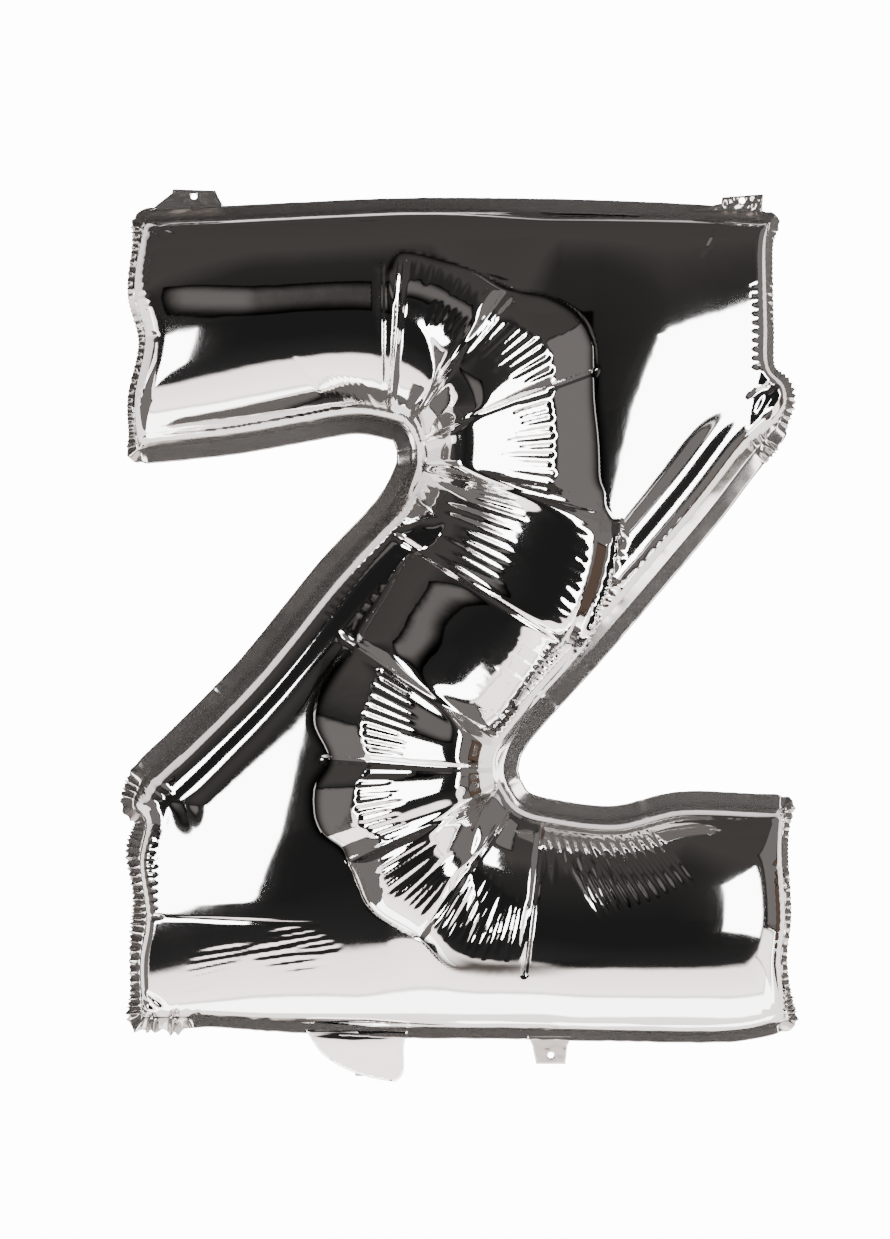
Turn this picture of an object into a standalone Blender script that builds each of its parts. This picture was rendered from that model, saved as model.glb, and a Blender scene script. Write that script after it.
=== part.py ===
"""Letter foil balloon: a silver Z of two welded films, 40 cm tall, with hanging tabs and an inflation tail.

The letter stands in the XZ plane and faces -Y. The origin is midway between the holes of its two top tabs.
"""

import math

import bmesh
import bpy
import numpy as np

# Driving dimensions, in metres
ARM_RADIUS = 0.051  # half depth of the straight arms
ARM_BLUNTNESS = 2.6  # how square the arms close: 0 is a soft pillow
ARM_END_REACH = 0.042  # how far in from an arm's end its film still falls away
ARM_END_SHARE = 0.20  # share of the depth that it falls by, before the steep wall
END_WALL = 0.0022  # how quickly that wall rises
ARM_RUN_ON = 0.065  # how far the arms are carried past their ends while their field is solved
CORNER_REACH = 0.075  # how far below the top seam an outer corner reaches its depth, beside its end
CORNER_SPREAD = 0.30  # and how much further that is for each metre inwards
CORNER_WALL = 0.028  # depth of the outer corners just inside their ends
CORNER_SLOPE = 0.27  # how fast they deepen from there
CORNER_SLANT = 0.24  # how far the lines of even depth lean
CORNER_CEILING = 0.046
SEAM_ROLL = 0.012  # width of the roll along the diagonal seams
END_ROLL = 0.005
CORNER_EDGE_Z = -0.010  # height of the upper right corner's top seam
CORNER_BEND_Z = -0.0694  # where the lines of even depth begin to lean
CORNER_END_X = 0.151
UPPER_END = ((0.1530, -0.0125), (0.1560, -0.1138))  # where the upper right end's seam starts and stops
LOWER_END = ((-0.1511, -0.2863), (-0.1482, -0.3962))
TURN_X, TURN_Z = 0.0044, -0.4082  # sums of the coordinates of a point and of its place in the other outer corner
VALLEY = 0.0025  # rounding where the bent tube meets the corners
TUBE_HALF = 5.2  # place along the tube where its outer side changes from one rail to the other
FILM = 0.0012  # thickness that stands in for the film
SEAT_GAP = 0.0003  # gap between faces that touch
FLANGE_THICKNESS = 0.0010  # welded margin outside the chamber
FLANGE_WIDTH = 0.0058
LAND_WIDTH = 0.0025  # strip of each film that lies on the flange
FLANGE_LAP = 0.0010  # how far the flange reaches in under the films
LAND_Y = FLANGE_THICKNESS / 2 + SEAT_GAP  # inner face of a film's land
TAB_SHOULDER = 0.0022  # height of the flared root of a hanging tab
TAB_HOLE_RADIUS = 0.0015
TAB_HOLE_DROP = 0.0032  # from a tab's edge to the middle of its hole
ROOT_POINTS = 13  # points along the root of a tab, so that it follows the flange
# Name, middle, width at the shoulder, width at the edge, and rise above (or drop below) the flange
TABS = (
    ("hanging_tab_top_left", -0.1246, 0.0212, 0.0208, 0.0072),
    ("hanging_tab_top_right", 0.1371, 0.0222, 0.0222, 0.0060),
    ("hanging_tab_bottom", 0.0470, 0.0200, 0.0136, -0.0110),
)
TAIL_X = -0.0455  # middle of the inflation tail's root
TAIL_PLY = 0.0010
VALVE_OFFSET = 0.0080  # of the valve from the middle of the tail's root
VALVE_WIDTH = 0.0200
VALVE_THICKNESS = 0.0008
# The tail's outline from the middle of its root: a mouth that opens to the lower left
TAIL_OUTLINE = (
    (-0.0255, 0.0000),
    (-0.0167, -0.0072),
    (-0.0029, -0.0158),
    (0.0147, -0.0206),
    (0.0202, -0.0193),
    (0.0221, -0.0140),
    (0.0221, -0.0060),
    (0.0250, 0.0000),
)
CREASE_DEPTH = 0.0030  # depth of a pleat across the bent tube
FIELD_STEP = 0.003  # grid of the height fields
FIELD_SWEEPS = 900
STEPS_PER_RUNG = 2
ROWS_ACROSS = 25

# Rungs across the bent tube that stands out of the letter's middle: (place along it, x, z, x, z)
TUBE_RUNGS = (
    (0.00, -0.0330, -0.1022, -0.0335, -0.0357),
    (0.50, -0.0321, -0.1031, -0.0282, -0.0318),
    (1.00, -0.0301, -0.1046, -0.0229, -0.0299),
    (1.33, -0.0268, -0.1070, -0.0060, -0.0328),
    (1.67, -0.0239, -0.1089, 0.0108, -0.0395),
    (2.00, -0.0210, -0.1109, 0.0263, -0.0482),
    (2.33, -0.0190, -0.1133, 0.0451, -0.0511),
    (2.67, -0.0176, -0.1162, 0.0615, -0.0627),
    (3.00, -0.0166, -0.1195, 0.0692, -0.0858),
    (3.50, -0.0152, -0.1253, 0.0725, -0.1176),
    (4.00, -0.0166, -0.1330, 0.0706, -0.1533),
    (4.50, -0.0229, -0.1475, 0.0648, -0.1851),
    (5.00, -0.0311, -0.1620, 0.0528, -0.2155),
    (5.50, -0.0431, -0.1865, 0.0393, -0.2415),
    (6.00, -0.0552, -0.2111, 0.0253, -0.2641),
    (6.33, -0.0629, -0.2294, 0.0229, -0.2685),
    (6.67, -0.0682, -0.2516, 0.0219, -0.2718),
    (7.00, -0.0639, -0.2699, 0.0219, -0.2747),
    (7.33, -0.0706, -0.2853, 0.0224, -0.2781),
    (7.67, -0.0687, -0.3066, 0.0229, -0.2815),
    (8.00, -0.0504, -0.3191, 0.0234, -0.2849),
    (8.50, -0.0383, -0.3413, 0.0253, -0.2892),
    (9.00, -0.0166, -0.3548, 0.0282, -0.2926),
    (9.50, 0.0012, -0.3711, 0.0345, -0.2974),
    (10.00, 0.0335, -0.3740, 0.0422, -0.3008),
    (10.50, 0.0663, -0.3731, 0.0590, -0.3027),
    (11.00, 0.1000, -0.3692, 0.0807, -0.3037),
)
# Where the tube's ridge runs: (place along, place across from -1 to 1)
RIDGE = (
    (0, 0.45), (1, 0.42), (1.9, 0.48), (2.1, -0.16), (2.9, -0.26), (3.1, -0.50), (3.88, -0.54), (4.12, 0.42),
    (4.5, 0.50), (4.9, 0.48), (5.1, 0.22), (5.5, 0.04), (5.88, -0.08), (6.12, 0.50), (6.9, 0.50), (7.1, 0.52),
    (7.9, 0.48), (8.1, 0.26), (8.9, 0.16), (9.1, -0.36), (10, -0.42), (11, -0.45),
)
# Where the tube's outer side falls away like a cone: (place along, share)
CONE_SHARE = ((0, 0), (1.9, 0), (2.1, 1), (3.9, 1), (4.1, 0), (5.9, 0), (6.1, 1), (8.9, 1), (9.1, 0), (11, 0))
# Half depth of the tube: (place along, its ridge, the foot of its left side, the foot of its right side)
TUBE_DEPTHS = (
    (0, 0.050, 0.000, 0.040),
    (1, 0.053, 0.000, 0.042),
    (1.5, 0.056, 0.000, 0.042),
    (2, 0.061, 0.000, 0.043),
    (2.5, 0.066, 0.000, 0.043),
    (3, 0.070, 0.000, 0.043),
    (3.9, 0.070, 0.000, 0.043),
    (4.12, 0.065, 0.003, 0.046),
    (4.5, 0.062, 0.005, 0.048),
    (4.9, 0.061, 0.008, 0.046),
    (5.1, 0.061, 0.016, 0.032),
    (5.5, 0.061, 0.018, 0.026),
    (5.88, 0.063, 0.022, 0.022),
    (6.12, 0.068, 0.040, 0.000),
    (6.5, 0.070, 0.042, 0.000),
    (7.5, 0.070, 0.042, 0.000),
    (8, 0.066, 0.042, 0.000),
    (8.5, 0.061, 0.042, 0.000),
    (9, 0.056, 0.042, 0.000),
    (9.5, 0.053, 0.042, 0.000),
    (10, 0.051, 0.042, 0.000),
    (11, 0.050, 0.040, 0.000),
)

# Rungs across the letter's band, from the left-hand rail to the right-hand rail: (x, z, x, z, pleat).
# The rails run down both sides of the Z, and the rungs fan out at its two inner corners.
RUNGS = (
    (-0.1520, -0.1222, -0.1495, -0.0130, 0.0),
    (-0.1460, -0.1219, -0.1435, -0.0122, 0.0),
    (-0.1320, -0.1213, -0.1300, -0.0110, 0.0),
    (-0.1020, -0.1176, -0.1000, -0.0092, 0.0),
    (-0.0735, -0.1128, -0.0687, -0.0080, 0.0),
    (-0.0494, -0.1094, -0.0422, -0.0073, 0.0),
    (-0.0325, -0.1092, -0.0205, -0.0072, 1.0),
    (-0.0267, -0.1110, 0.0133, -0.0072, 0.0),
    (-0.0229, -0.1140, 0.0518, -0.0075, 1.0),
    (-0.0205, -0.1170, 0.1024, -0.0090, 0.0),
    (-0.0192, -0.1198, 0.1530, -0.0125, 0.0),
    (-0.0186, -0.1234, 0.1550, -0.0600, 1.0),
    (-0.0190, -0.1282, 0.1560, -0.1138, 0.0),
    (-0.0214, -0.1340, 0.1290, -0.1436, 1.0),
    (-0.0253, -0.1412, 0.1000, -0.1778, 0.0),
    (-0.0306, -0.1494, 0.0760, -0.2075, 0.0),
    (-0.0373, -0.1586, 0.0576, -0.2294, 1.0),
    (-0.0518, -0.1745, 0.0422, -0.2477, 0.0),
    (-0.0735, -0.2005, 0.0263, -0.2661, 1.0),
    (-0.0918, -0.2212, 0.0248, -0.2705, 0.0),
    (-0.1193, -0.2516, 0.0243, -0.2743, 1.0),
    (-0.1511, -0.2863, 0.0243, -0.2791, 0.0),
    (-0.1500, -0.3417, 0.0253, -0.2839, 1.0),
    (-0.1482, -0.3962, 0.0272, -0.2873, 0.0),
    (-0.0976, -0.3991, 0.0296, -0.2906, 0.0),
    (-0.0494, -0.4001, 0.0330, -0.2935, 1.0),
    (-0.0108, -0.4006, 0.0383, -0.2959, 0.0),
    (0.0287, -0.4015, 0.0446, -0.2974, 1.0),
    (0.0566, -0.4020, 0.0615, -0.2993, 0.0),
    (0.0856, -0.4025, 0.0807, -0.3003, 0.0),
    (0.1145, -0.4020, 0.1048, -0.2969, 1.0),
    (0.1420, -0.4004, 0.1390, -0.2940, 0.0),
    (0.1555, -0.3990, 0.1550, -0.2940, 0.0),
    (0.1617, -0.3981, 0.1617, -0.2940, 0.0),
)


def clear_scene():
    for item in list(bpy.data.objects):
        bpy.data.objects.remove(item, do_unlink=True)


def make_material(name, color, roughness, metallic, alpha=1.0):
    """Principled material with one colour."""
    material = bpy.data.materials.new(name)
    material.use_nodes = True
    shader = material.node_tree.nodes["Principled BSDF"]
    shader.inputs["Base Color"].default_value = (*color, 1.0)
    shader.inputs["Roughness"].default_value = roughness
    shader.inputs["Metallic"].default_value = metallic
    shader.inputs["Alpha"].default_value = alpha
    return material


def curve_through(knots, samples):
    """Catmull-Rom curve through the knots, with a number of samples on each of its spans."""
    before = np.vstack([2 * knots[0] - knots[1], knots[:-1]])[:-1]
    after = np.vstack([knots[1:], 2 * knots[-1] - knots[-2]])[1:]
    start, end = knots[:-1], knots[1:]
    rows = []
    for step in range(samples):
        t = step / samples
        linear = 2 * start + (end - before) * t
        square = (2 * before - 5 * start + 4 * end - after) * t**2
        cube = (3 * start - before - 3 * end + after) * t**3
        rows.append(0.5 * (linear + square + cube))
    curve = np.stack(rows, axis=1).reshape(-1, knots.shape[1])
    return np.vstack([curve, knots[-1]])


def rail_points(column):
    """One end of every rung, smoothed between rungs."""
    return curve_through(np.array([rung[column : column + 2] for rung in RUNGS]), STEPS_PER_RUNG)


def stations_across():
    """Where the rows of points lie across the band, from 0 to 1, closer together near the seam."""
    return 0.5 * (1 - np.cos(math.pi * np.linspace(0, 1, ROWS_ACROSS)))


def ring(left, right):
    """What runs round the band's rim: the left rail, the far end, the right rail backwards, and the near end."""
    across = stations_across()[1:-1, None]
    far_end = left[-1] + (right[-1] - left[-1]) * across
    near_end = right[0] + (left[0] - right[0]) * across
    return np.vstack([left, far_end, right[::-1], near_end])


def offset_rails(left, right, distance):
    """Both rails moved outwards by a distance, together with the band's straight ends."""
    loop = np.vstack([left, right[::-1]])
    moved = loop + mitres(loop) * distance
    return moved[: len(left)], moved[len(left) :][::-1]


def flange_loop(left, right, distance):
    """The rails as one closed loop, moved outwards, without the points where a tight bend folds over."""
    loop = np.vstack([left, right[::-1]])
    moved = np.vstack(offset_rails(left, right, distance))
    moved[len(left) :] = moved[len(left) :][::-1]
    before = np.roll(loop, -1, axis=0) - loop
    after = np.roll(moved, -1, axis=0) - moved
    return moved[(before * after).sum(axis=1) > 0.25 * (before**2).sum(axis=1)]


def mitres(loop):
    """At each point of a closed loop, the vector to the same point of a loop one unit further out."""
    edge = np.roll(loop, -1, axis=0) - loop
    edge /= np.linalg.norm(edge, axis=1)[:, None]
    normal = np.stack([edge[:, 1], -edge[:, 0]], axis=1)
    before = np.roll(normal, 1, axis=0)
    mitre = (before + normal) / (1 + (before * normal).sum(axis=1))[:, None]
    turned = np.roll(loop, -1, axis=0)
    area = (loop[:, 0] * turned[:, 1] - loop[:, 1] * turned[:, 0]).sum()
    return mitre * math.copysign(1.0, area)


def inside_loop(points, loop):
    """True for each point that lies inside the closed loop, by counting crossings."""
    x, z = points[..., 0], points[..., 1]
    inside = np.zeros(x.shape, bool)
    for (x0, z0), (x1, z1) in zip(loop, np.roll(loop, -1, axis=0)):
        if z0 == z1:
            continue
        crosses = (z0 > z) != (z1 > z)
        at = x0 + (z - z0) * (x1 - x0) / (z1 - z0)
        inside ^= crosses & (x < at)
    return inside


def smooth(t):
    """A soft step from 0 to 1."""
    t = np.clip(t, 0.0, 1.0)
    return t * t * (3 - 2 * t)


def lesser(a, b, reach):
    """The smaller of two, rounded over where they meet."""
    blend = np.clip(1 - np.abs(a - b) / reach, 0.0, 1.0)
    return np.minimum(a, b) - 0.25 * reach * blend**2


def line_distance(points, line):
    """Least distance from each point to an open line."""
    best = np.full(points.shape[:-1], np.inf)
    for a, b in zip(line[:-1], line[1:]):
        along = b - a
        t = np.clip(((points - a) @ along) / (along @ along), 0.0, 1.0)
        best = np.minimum(best, np.linalg.norm(points - a - t[..., None] * along, axis=-1))
    return best


class Inflation:
    """Height of the blown-up front film over the letter: arms, two outer corners, and the bent tube between."""

    def __init__(self, left, right, rim):
        self.rim = np.vstack([rim, rim[:1]])
        self.ends = self.arm_ends(left, right)
        far_left, far_right = self.run_on(left, right)
        far = np.vstack([far_left, far_right[::-1]])
        self.low = far.min(axis=0) - 2 * FIELD_STEP
        cells = np.ceil((far.max(axis=0) + 2 * FIELD_STEP - self.low) / FIELD_STEP).astype(int)
        axes = [self.low[k] + FIELD_STEP * np.arange(cells[k] + 1) for k in (0, 1)]
        self.grid = np.stack(np.meshgrid(*axes, indexing="ij"), axis=-1)
        self.arms = self.arm_field(inside_loop(self.grid, far))
        self.tube = self.tube_fields()

    def arm_ends(self, left, right):
        """The four short sides of the letter, where its arms end."""
        corner = [np.argmin(np.linalg.norm(right - at, axis=1)) for at in UPPER_END]
        upper_right = right[corner[0] : corner[1] + 1]
        corner = [np.argmin(np.linalg.norm(left - at, axis=1)) for at in LOWER_END]
        lower_left = left[corner[0] : corner[1] + 1]
        return [np.vstack([left[0], right[0]]), upper_right, lower_left, np.vstack([left[-1], right[-1]])]

    def run_on(self, left, right):
        """Both rails with the four ends pushed outwards, so that the arms run on past them."""
        far_left, far_right = left.copy(), right.copy()
        for rail, end, side in ((far_right, self.ends[1], 1), (far_left, self.ends[2], -1)):
            first = np.argmin(np.linalg.norm(rail - end[0], axis=1))
            rail[first : first + len(end), 0] += side * ARM_RUN_ON
        far_left[0, 0] -= ARM_RUN_ON
        far_right[0, 0] -= ARM_RUN_ON
        far_left[-1, 0] += ARM_RUN_ON
        far_right[-1, 0] += ARM_RUN_ON
        return far_left, far_right

    def arm_field(self, mask):
        """Squared height of the arms.

        A soap film on a bed of springs takes the mean of its neighbours plus a step, again and again. Over a long
        strip of half-width R it has the height (1 - cosh(kx) / cosh(kR)) / k^2, and there the arms' squared height
        is R^2 - x^2: one is looked up from the other.
        """
        k = ARM_BLUNTNESS / ARM_RADIUS
        keep = 0.25 / (1 + (k * FIELD_STEP) ** 2 / 4)
        film = np.zeros(mask.shape)
        for _ in range(FIELD_SWEEPS):
            around = np.zeros(mask.shape)
            around[1:-1, 1:-1] = film[2:, 1:-1] + film[:-2, 1:-1] + film[1:-1, 2:] + film[1:-1, :-2]
            film = np.where(mask, keep * (around + FIELD_STEP**2), 0.0)
        x = np.linspace(ARM_RADIUS, 0.0, 400)
        strip = (1 - np.cosh(k * x) / math.cosh(ARM_BLUNTNESS)) / k**2
        wider = np.linspace(0.0, 1.4, 80)[1:]
        strip = np.concatenate([strip, (1 - np.cos(wider) / math.cosh(ARM_BLUNTNESS)) / k**2])
        square = np.concatenate([ARM_RADIUS**2 - x**2, ARM_RADIUS**2 + (wider / k) ** 2])
        return np.interp(film, strip, square)

    def tube_fields(self):
        """Three numbers for each grid point that the bent tube covers, from a fine net of rungs.

        They are its ridge's height, its foot's height, and how far up from foot to ridge the point is; the height of
        all three is 0 outside the tube.
        """
        rungs = curve_through(np.array(TUBE_RUNGS), 40)
        across = np.linspace(-1.0, 1.0, 240)
        share = (across + 1) / 2
        net = rungs[:, None, 1:3] * (1 - share[:, None]) + rungs[:, None, 3:5] * share[:, None]
        place = rungs[:, :1]
        crest = np.interp(place, *np.array(RIDGE).T)
        right = across > crest
        w = np.clip(np.where(right, (across - crest) / (1 - crest), (crest - across) / (1 + crest)), 0.0, 1.0)
        table = np.array(TUBE_DEPTHS).T
        top, foot_left, foot_right = (np.interp(place, table[0], row) for row in table[1:])
        foot = np.where(right, foot_right, foot_left)
        cone = np.interp(place, *np.array(CONE_SHARE).T) * (right == (place < TUBE_HALF))
        profile = cone * (1 - 0.6 * w - 0.4 * w**2) + (1 - cone) * np.sqrt(1 - w**2)
        cell = np.rint((net - self.low) / FIELD_STEP).astype(int).reshape(-1, 2)
        flat = cell[:, 0] * self.grid.shape[1] + cell[:, 1]
        size = self.grid.shape[0] * self.grid.shape[1]
        hits = np.maximum(np.bincount(flat, minlength=size), 1)
        rows = (top + 0 * w, foot, profile)
        return [(np.bincount(flat, row.ravel(), size) / hits).reshape(self.grid.shape[:2]) for row in rows]

    def read(self, field, points):
        """A grid field between its points."""
        at = (points - self.low) / FIELD_STEP
        cell = np.clip(np.floor(at).astype(int), 0, np.array(field.shape) - 2)
        fx, fz = np.moveaxis(at - cell, -1, 0)
        i, j = np.moveaxis(cell, -1, 0)
        lower = field[i, j] * (1 - fx) + field[i + 1, j] * fx
        upper = field[i, j + 1] * (1 - fx) + field[i + 1, j + 1] * fx
        return lower * (1 - fz) + upper * fz

    def arm(self, points):
        """The arms: a round stroke that falls away a little towards each end and closes with a steep wall."""
        deep = np.sqrt(np.maximum(self.read(self.arms, points), 0.0))
        to_end = np.min([line_distance(points, line) for line in self.ends], axis=0)
        inward = 1 - np.clip(to_end / ARM_END_REACH, 0.0, 1.0)
        wall = 1 - np.exp(-to_end / END_WALL)
        return deep * ((1 - ARM_END_SHARE) * wall + ARM_END_SHARE * (1 - inward**2))

    def corner(self, x, z, apart):
        """The upper right outer corner: a round edge below the seam times a slope that faces right."""
        reach = CORNER_REACH + CORNER_SPREAD * (CORNER_END_X - x)
        below = 1 - np.clip((CORNER_EDGE_Z - z) / reach, 0.0, 1.0)
        inward = CORNER_END_X - x - CORNER_SLANT * np.maximum(CORNER_BEND_Z - z, 0.0)
        slope = lesser(CORNER_WALL + CORNER_SLOPE * np.maximum(inward, 0.0), CORNER_CEILING, 0.005)
        diagonal = smooth((-0.097 - z) / 0.026)
        roll = SEAM_ROLL * diagonal + END_ROLL * (1 - diagonal)
        rise = np.sqrt(1 - (1 - np.clip(apart / roll, 0.0, 1.0)) ** 2)
        return slope * np.sqrt(1 - below**2) * rise

    def height(self, points):
        """Height over every point: the greater of tube and surroundings, rounded over where they meet."""
        x, z = points[..., 0], points[..., 1]
        apart = line_distance(points, self.rim)
        lower = smooth((0.55 * x - 0.83 * (z + 0.1981)) / 0.024 + 0.5)
        upper_corner = self.corner(x, z, apart)
        lower_corner = self.corner(TURN_X - x, TURN_Z - z, apart)
        corners = upper_corner * (1 - lower) + lower_corner * lower
        top_arm = (1 - smooth((x + 0.011) / 0.0915)) * (1 - smooth((-z - 0.1128) / 0.0337))
        bottom_arm = (1 - smooth((0.0132 - x) / 0.0915)) * smooth((-z - 0.2598) / 0.0337)
        slack = 1 - top_arm - bottom_arm
        around = self.arm(points) * (1 - slack) + corners * slack
        top, foot, profile = (self.read(field, points) for field in self.tube)
        foot = np.minimum(foot, around)
        tube = foot + (top - foot) * profile
        blend = np.clip(1 - np.abs(around - tube) / VALLEY, 0.0, 1.0)
        out = np.maximum(around, tube) + 0.25 * VALLEY * blend**2
        stands = np.clip((tube - around) / 0.004, 0.0, 1.0)
        return around + (out - around) * smooth(apart / 0.006), stands


def film_surface(left, right, rim):
    """Grid of points (station, row, xyz) of the front film's inner face, without its land."""
    across = stations_across()
    flat = left[:, None] * (1 - across)[None, :, None] + right[:, None] * across[None, :, None]
    height, stands = Inflation(left, right, rim).height(flat)
    pleats = np.zeros(len(flat))
    pleats[::STEPS_PER_RUNG] = [rung[4] for rung in RUNGS]
    height -= CREASE_DEPTH * pleats[:, None] * stands
    height[0] = height[-1] = 0.0
    height[:, 0] = height[:, -1] = 0.0
    return np.dstack([flat[..., 0], -LAND_Y - height, flat[..., 1]])


def link(mesh, name, material, collection):
    obj = bpy.data.objects.new(name, mesh)
    obj.data.materials.append(material)
    collection.objects.link(obj)
    return obj


def add_land(shape, rim_points, land_points):
    """Grows the film's rim into the flat land that lies on the flange."""
    rim = [edge for edge in shape.edges if edge.is_boundary]
    grown = bmesh.ops.extrude_edge_only(shape, edges=rim)["geom"]
    for vertex in grown:
        if isinstance(vertex, bmesh.types.BMVert):
            away = np.hypot(rim_points[:, 0] - vertex.co.x, rim_points[:, 1] - vertex.co.z)
            vertex.co.x, vertex.co.z = land_points[np.argmin(away)]


def make_film(name, grid, rim_points, land_points, side, material, collection):
    """One film: a grid laid over the inflated surface, given its thickness outwards."""
    stations, rows = grid.shape[:2]
    shape = bmesh.new()
    bmesh.ops.create_grid(shape, x_segments=stations - 1, y_segments=rows - 1, size=1.0)
    for vertex in shape.verts:
        i = round((vertex.co.x + 1) / 2 * (stations - 1))
        j = round((vertex.co.y + 1) / 2 * (rows - 1))
        x, y, z = grid[i, j]
        vertex.co = (x, y * side, z)
    add_land(shape, rim_points, land_points)
    bmesh.ops.recalc_face_normals(shape, faces=shape.faces)
    centre = max(shape.faces, key=lambda face: abs(face.calc_center_median().y))
    if centre.normal.y * side > 0:
        bmesh.ops.reverse_faces(shape, faces=shape.faces)
    mesh = bpy.data.meshes.new(name)
    shape.to_mesh(mesh)
    shape.free()
    mesh.shade_smooth()
    mesh.set_sharp_from_angle(angle=math.radians(50))
    obj = link(mesh, name, material, collection)
    wall = obj.modifiers.new("film_thickness", "SOLIDIFY")
    wall.thickness = FILM
    wall.offset = 1.0
    wall.use_even_offset = True
    wall.thickness_clamp = 0.0
    return obj


def make_flat_piece(name, loops, thickness, material, collection):
    """Flat piece in the XZ plane from closed outlines, the first one outside and the others as holes."""
    curve = bpy.data.curves.new(name, "CURVE")
    curve.dimensions = "2D"
    curve.fill_mode = "BOTH"
    curve.extrude = thickness / 2
    for loop in loops:
        spline = curve.splines.new("POLY")
        spline.points.add(len(loop) - 1)
        for point, (x, z) in zip(spline.points, loop):
            point.co = (x, z, 0.0, 1.0)
        spline.use_cyclic_u = True
    obj = link(curve, name, material, collection)
    obj.rotation_euler = (math.pi / 2, 0.0, 0.0)
    return obj


def circle_loop(x, z, radius, points=12):
    angles = 2 * math.pi * np.arange(points) / points
    return np.stack([x + radius * np.cos(angles), z + radius * np.sin(angles)], axis=1)


def edge_height(loop, x, upper):
    """Height of the outline's top or bottom edge above a given x."""
    found = []
    for (x0, z0), (x1, z1) in zip(loop, np.roll(loop, -1, axis=0)):
        if (x0 - x) * (x1 - x) <= 0 and x0 != x1:
            found.append(z0 + (x - x0) * (z1 - z0) / (x1 - x0))
    return max(found) if upper else min(found)


def make_tab(name, x, shoulder_width, edge_width, rise, flange_loop, material, collection):
    """Hanging tab: a small flag on a flared root, with a hole for the string. A negative rise hangs it below."""
    side = math.copysign(1, rise)
    root_half = shoulder_width / 2 + TAB_SHOULDER
    root_x = np.linspace(x - root_half, x + root_half, ROOT_POINTS)
    root = [(at, edge_height(flange_loop, at, rise > 0) + side * SEAT_GAP) for at in root_x]
    middle = root[ROOT_POINTS // 2][1]
    shoulder = middle + side * TAB_SHOULDER
    edge = middle + rise
    loop = root + [
        (x + shoulder_width / 2, shoulder),
        (x + edge_width / 2, edge),
        (x - edge_width / 2, edge),
        (x - shoulder_width / 2, shoulder),
    ]
    hole = circle_loop(x, edge - side * TAB_HOLE_DROP, TAB_HOLE_RADIUS)
    return make_flat_piece(name, [loop, hole], FLANGE_THICKNESS, material, collection)


def make_tail_ply(name, y, half_width, thickness, root_loop, material, collection):
    """One ply of the inflation tail, or the valve between its plies when half_width cuts the outline narrower."""
    outline = np.array(TAIL_OUTLINE)
    outline[:, 0] = np.clip(outline[:, 0], VALVE_OFFSET - half_width, VALVE_OFFSET + half_width)
    outline[:, 0] += TAIL_X
    root_x = np.linspace(outline[-1, 0], outline[0, 0], ROOT_POINTS)
    root = np.array([(at, edge_height(root_loop, at, False) - SEAT_GAP) for at in root_x])
    outline[:, 1] += root[:, 1].min()
    outline = np.vstack([outline[1:-1], root])
    obj = make_flat_piece(name, [outline], thickness, material, collection)
    obj.location.y = y
    return obj


def build():
    clear_scene()
    collection = bpy.data.collections.new("letter_foil_balloon")
    bpy.context.scene.collection.children.link(collection)
    silver = make_material("silver_film", (0.86, 0.84, 0.83), 0.06, 1.0)
    silver_seam = make_material("silver_seam", (0.62, 0.60, 0.59), 0.16, 1.0)
    valve_film = make_material("valve_film", (0.80, 0.81, 0.82), 0.30, 0.0, 0.6)

    left, right = rail_points(0), rail_points(2)
    inner_rails = offset_rails(left, right, -FILM)
    rim_points = ring(*inner_rails)
    land_points = ring(*offset_rails(*inner_rails, LAND_WIDTH))
    surface = film_surface(*inner_rails, rim_points)
    make_film("front_film", surface, rim_points, land_points, 1, silver, collection)
    make_film("back_film", surface, rim_points, land_points, -1, silver, collection)

    flange_inner = flange_loop(left, right, -FLANGE_LAP)
    flange_outer = flange_loop(left, right, FLANGE_WIDTH)
    make_flat_piece("seam_flange", [flange_outer, flange_inner], FLANGE_THICKNESS, silver_seam, collection)

    for name, x, shoulder_width, edge_width, rise in TABS:
        make_tab(name, x, shoulder_width, edge_width, rise, flange_outer, silver_seam, collection)

    ply_y = VALVE_THICKNESS / 2 + SEAT_GAP + TAIL_PLY / 2
    make_tail_ply("tail_front_ply", -ply_y, 1.0, TAIL_PLY, flange_outer, silver, collection)
    make_tail_ply("tail_back_ply", ply_y, 1.0, TAIL_PLY, flange_outer, silver, collection)
    make_tail_ply("valve_sleeve", 0.0, VALVE_WIDTH / 2, VALVE_THICKNESS, flange_outer, valve_film, collection)


build()
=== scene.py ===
import math
import time

import bpy
import numpy as np
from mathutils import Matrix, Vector
from mathutils.geometry import delaunay_2d_cdt


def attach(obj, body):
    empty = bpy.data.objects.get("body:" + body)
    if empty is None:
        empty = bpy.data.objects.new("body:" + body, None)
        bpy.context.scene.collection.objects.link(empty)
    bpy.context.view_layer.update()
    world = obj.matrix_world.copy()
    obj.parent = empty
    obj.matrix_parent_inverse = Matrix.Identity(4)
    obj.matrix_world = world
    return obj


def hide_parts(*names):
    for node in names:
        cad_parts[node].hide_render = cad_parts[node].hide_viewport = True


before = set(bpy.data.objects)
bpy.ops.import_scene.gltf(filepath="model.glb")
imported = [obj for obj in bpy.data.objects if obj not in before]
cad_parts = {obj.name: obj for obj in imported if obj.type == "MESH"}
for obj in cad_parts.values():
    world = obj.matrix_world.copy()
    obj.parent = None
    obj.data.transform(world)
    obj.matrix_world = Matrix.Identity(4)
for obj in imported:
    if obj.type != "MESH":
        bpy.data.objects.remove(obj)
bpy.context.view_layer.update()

started = time.time()


def report(stage):
    print(f"{time.time() - started:6.1f} s  {stage}")


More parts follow.
